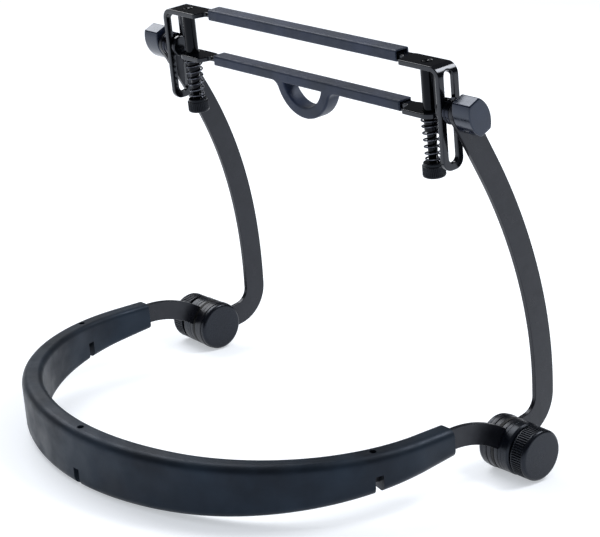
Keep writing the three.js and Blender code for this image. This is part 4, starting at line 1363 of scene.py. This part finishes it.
@dataclass
class Pivot:
    """One tilt pivot: round-headed bolt, bright collar and wing grip."""

    side: Side
    plate_outer: float = PLATE_OUTER
    plate_thickness: float = STRAP_THICKNESS
    gap: float = CLEARANCE
    head_radius: float = 5.4
    head_length: float = 2.2
    bolt_radius: float = 2.5
    square: float = 5.2
    bolt_steps: int = 64
    collar_radius: float = 6.2
    collar_length: float = 4.05
    collar_steps: int = 72
    waist_depth: float = 0.45
    waist_inset: float = 1.15
    waist_slope: float = 0.2
    wing_start: float = 108.95
    wing_depth: float = 11.0
    wing_length: float = 17.0
    wing_width: float = 12.6
    wing_end: float = 6.6
    wing_rim: float = 0.6
    wing_corner: float = 0.5
    wing_rim_steps: int = 3
    wing_wall: float = 2.4
    wing_steps: int = 20
    bore: float = 4.4
    bore_steps: int = 40
    lean: float = math.radians(21.7)

    @property
    def start(self) -> float:
        """Where the bolt's head begins, from the middle plane."""
        return self.plate_outer - self.plate_thickness - self.gap - self.head_length

    def build_bolt(self) -> BMesh:
        """Bolt from its soft round head outwards, with a square neck in the slot."""
        head, shank = self.head_length, self.bolt_radius
        neck = head + self.plate_thickness + self.gap
        end = self.wing_start + self.wing_depth - self.wing_wall - self.gap - self.start
        bm = turned([
            (0.0, 0.0, 0.0), (0.0, self.head_radius, 0.9), (head, self.head_radius, 0.15),
            (head, shank, 0.0), (end, shank, 0.3), (end, 0.0, 0.0),
        ], self.bolt_steps)
        half = self.square / 2.0
        block(bm, (head - 0.05, -half, -half), (neck, half, half))
        return bm

    def build_collar(self) -> BMesh:
        """Bright spacer between the side plate and the arm, with a shallow waist."""
        inner, outer = self.bolt_radius + self.gap, self.collar_radius
        end, waist = self.collar_length, outer - self.waist_depth
        near, low = self.waist_inset, self.waist_inset + self.waist_slope
        return turned([
            (0.0, inner, 0.0), (0.0, outer, 0.35), (near, outer, 0.1), (low, waist, 0.1),
            (end - low, waist, 0.1), (end - near, outer, 0.1), (end, outer, 0.35),
            (end, inner, 0.0), (0.0, inner, 0.0),
        ], self.collar_steps)

    def build_wing(self) -> BMesh:
        """Wing grip: two bulging sides and two short flat ends, with crisp soft rims."""
        half_length, half_width = self.wing_length / 2.0, self.wing_width / 2.0
        bulge = half_width - self.wing_end / 2.0
        radius = (half_length**2 + bulge**2) / (2.0 * bulge)
        reach = math.asin(half_length / radius)
        offset = half_width - radius
        edge = offset + radius * math.cos(reach)
        bm = bmesh.new()
        pen = Pen(bm, edge, -half_length)
        pen.arc(offset, 0.0, 2.0 * reach, self.wing_steps)
        pen.line_to(-edge, half_length)
        pen.arc(-offset, 0.0, 2.0 * reach, self.wing_steps)
        pen.close()
        corners = [v for v in bm.verts if abs(abs(v.co.y) - half_length) < TOUCH]
        round_off(bm, corners, self.wing_corner, self.wing_rim_steps)
        plate(bm, self.wing_depth, self.wing_rim, self.wing_rim_steps)
        pocket = bmesh.new()
        depth = self.wing_depth - self.wing_wall
        rod(pocket, self.bore, 2.0 * depth, self.bore_steps, Matrix.Identity(4))
        carve(bm, pocket)
        outward = Matrix((AXIS_Z, AXIS_X, AXIS_Y)).to_4x4()
        turn = Matrix.Rotation(self.side.value * self.lean, 4, "X")
        bmesh.ops.transform(bm, matrix=turn @ outward, verts=bm.verts[:])
        return bm

    def dress(self) -> None:
        """Make the pivot's pieces."""
        word = self.side.word
        pivot, wing = f"{word}_pivot", f"{word}_wing"
        for name, node, body, finish, bm, start in (
            ("pivot_bolt_turned", "pivot_bolt", pivot, GLOSS_ENAMEL,
             self.build_bolt(), self.start),
            ("pivot_collar_turned", "pivot_collar", pivot, DARK_ZINC,
             self.build_collar(), self.plate_outer + self.gap),
            ("wing_grip", "wing_knob", wing, GRIP_PLASTIC, self.build_wing(), self.wing_start),
        ):
            piece = Piece(f"{word}_{name}", body, finish, (f"{word}_{node}",))
            piece.emit(bm, clamp_frame() @ outwards(self.side, start))


def dress_hidden_hardware() -> None:
    """Give the CAD nodes that stay, inside the hubs and grips, their metal."""
    for side in Side:
        for word, finish in (
            ("hub_bolt", BRIGHT_ZINC), ("hub_disc_spring", SPRING_WIRE),
            ("hub_knob_insert", INSERT_BRASS), ("wing_knob_insert", INSERT_BRASS),
        ):
            node = frame["nodes"][f"{side.word}_{word}"]
            node.data.materials.clear()
            node.data.materials.append(finish.material())
            LOG.info("%s: CAD node finished as %s", node.name, finish.name)


@dataclass
class Studio:
    """Camera, pale floor, soft lights and a white surround."""

    azimuth: float = math.radians(49.3142)
    elevation: float = math.radians(17.1863)
    roll: float = math.radians(0.4915)
    position: tuple[float, float, float] = (0.69619, -0.5628, 0.36353)
    lens: float = 115.56
    sensor: float = 36.0
    nearest: float = 0.01
    aim: tuple[float, float, float] = (0.0, 0.0, 0.09)
    floor_reach: float = 5.0
    floor_drop: float = 0.0002
    floor_colour: tuple[float, float, float, float] = (0.7, 0.715, 0.74, 1.0)
    floor_roughness: float = 0.85
    floor_specular: float = 0.1
    glow: float = 0.44
    glow_colour: tuple[float, float, float, float] = (0.93, 0.965, 1.0, 1.0)
    grey_tint: tuple[float, float, float] = (1.0, 1.03, 1.09)
    white: tuple[float, float, float, float] = (1.0, 1.0, 1.0, 1.0)

    def place_camera(self) -> None:
        """Stand the camera where the photograph was taken from."""
        az, el = self.azimuth, self.elevation
        back = Vector((math.sin(az) * math.cos(el), -math.cos(az) * math.cos(el), math.sin(el)))
        level = AXIS_Z.cross(back).normalized()
        steep = back.cross(level)
        right = level * math.cos(self.roll) + steep * math.sin(self.roll)
        up = steep * math.cos(self.roll) - level * math.sin(self.roll)
        turn = Matrix((right, up, back)).transposed().to_4x4()
        data = bpy.data.cameras.new("camera")
        data.sensor_width = self.sensor
        data.sensor_fit = "HORIZONTAL"
        data.lens = self.lens
        data.clip_start = self.nearest
        camera = bpy.data.objects.new("camera", data)
        camera.matrix_world = Matrix.Translation(self.position) @ turn
        bpy.context.scene.collection.objects.link(camera)
        bpy.context.scene.camera = camera

    def lay_floor(self) -> None:
        """Lay a white floor that keeps the object's shadow."""
        bm = bmesh.new()
        bmesh.ops.create_grid(bm, x_segments=2, y_segments=2, size=self.floor_reach)
        mesh = bpy.data.meshes.new("floor")
        bm.to_mesh(mesh)
        bm.free()
        paper = bpy.data.materials.new("white_paper")
        paper.use_nodes = True
        tree = paper.node_tree
        shader = tree.nodes["Principled BSDF"]
        feed(tree, shader, {
            "Base Color": self.floor_colour,
            "Roughness": self.floor_roughness,
            "Specular IOR Level": self.floor_specular,
        })
        seen = any_ray(tree, "Is Camera Ray", "Is Glossy Ray", "Is Transmission Ray")
        lifted = add_node(tree, "ShaderNodeMath", {0: seen, 1: self.glow}, operation="MULTIPLY")
        glow = {"Color": self.glow_colour, "Strength": lifted.outputs[0]}
        glowing = add_node(tree, "ShaderNodeEmission", glow).outputs["Emission"]
        both = {0: shader.outputs["BSDF"], 1: glowing}
        surface = add_node(tree, "ShaderNodeAddShader", both).outputs["Shader"]
        feed(tree, tree.nodes["Material Output"], {"Surface": surface})
        mesh.materials.append(paper)
        floor = bpy.data.objects.new("floor", mesh)
        floor.location.z = -self.floor_drop
        bpy.context.scene.collection.objects.link(floor)

    def hang_light(self, name: str, place: Sequence[float], size: float, power: float) -> None:
        """Hang one square soft box that faces the middle of the object.

        Args:
            name: The light's name.
            place: Where it hangs, in metres.
            size: Its side, in metres.
            power: Its power in watts.
        """
        data = bpy.data.lights.new(name, "AREA")
        data.shape = "RECTANGLE"
        data.size = data.size_y = size
        data.energy = power
        light = bpy.data.objects.new(name, data)
        turn = (Vector(self.aim) - Vector(place)).to_track_quat("-Z", "Y").to_matrix().to_4x4()
        light.matrix_world = Matrix.Translation(place) @ turn
        bpy.context.scene.collection.objects.link(light)

    def surround(self) -> None:
        """White for the camera; a white sweep under a dim room for gloss; a soft fill."""
        world = bpy.data.worlds.new("surround")
        world.use_nodes = True
        tree = world.node_tree
        way = add_node(tree, "ShaderNodeTexCoord", {}).outputs["Generated"]
        slant = add_node(tree, "ShaderNodeSeparateXYZ", {"Vector": way}).outputs["Z"]
        span = {"Value": slant, "From Min": -1.0}
        height = add_node(tree, "ShaderNodeMapRange", span).outputs["Result"]
        fill = self.greys(tree, height, ((0.35, 0.34), (0.95, 0.6)))
        room = self.greys(tree, height, ((0.52, 1.0), (0.56, 0.06), (0.75, 0.04), (0.95, 0.12)))
        mirrored = any_ray(tree, "Is Glossy Ray", "Is Transmission Ray")
        choice = {0: mirrored, 6: fill, 7: room}
        unseen = add_node(tree, "ShaderNodeMix", choice, data_type="RGBA").outputs[2]
        choice = {0: any_ray(tree, "Is Camera Ray"), 6: unseen, 7: self.white}
        shown = add_node(tree, "ShaderNodeMix", choice, data_type="RGBA").outputs[2]
        feed(tree, tree.nodes["Background"], {"Color": shown, "Strength": 1.0})
        bpy.context.scene.world = world

    def greys(
        self, tree: NodeTree, height: NodeSocket, stops: Sequence[tuple[float, float]]
    ) -> NodeSocket:
        """Grey levels of the surround from straight down to straight up.

        Args:
            tree: The world's nodes.
            height: Gives 0 straight down, a half at the horizon and 1 straight up.
            stops: Height and grey level of each stop.

        Returns:
            The socket that gives the colour.
        """
        red, green, blue = self.grey_tint
        colours = [(at, (v * red, v * green, v * blue, 1.0)) for at, v in stops]
        return ramp(tree, height, colours)

    def dress(self) -> None:
        """Set up the whole studio."""
        bpy.context.scene.view_settings.view_transform = "Standard"
        self.place_camera()
        self.lay_floor()
        self.hang_light("back_right_box", (0.46, 0.78, 1.2), 0.5, 10.0)
        self.hang_light("left_box", (-0.9, 0.08, 1.0), 0.8, 9.0)
        self.surround()


def main() -> None:
    """Build the studio and every sub-assembly."""
    logging.basicConfig(level=logging.INFO, format="%(name)s: %(message)s")
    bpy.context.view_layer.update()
    Studio().dress()
    Neck().dress()
    for side in Side:
        Arm(side).dress()
        Hub(side).dress()
        Pivot(side).dress()
    Clamp().dress()
    dress_hidden_hardware()


if __name__ == "__main__":
    main()
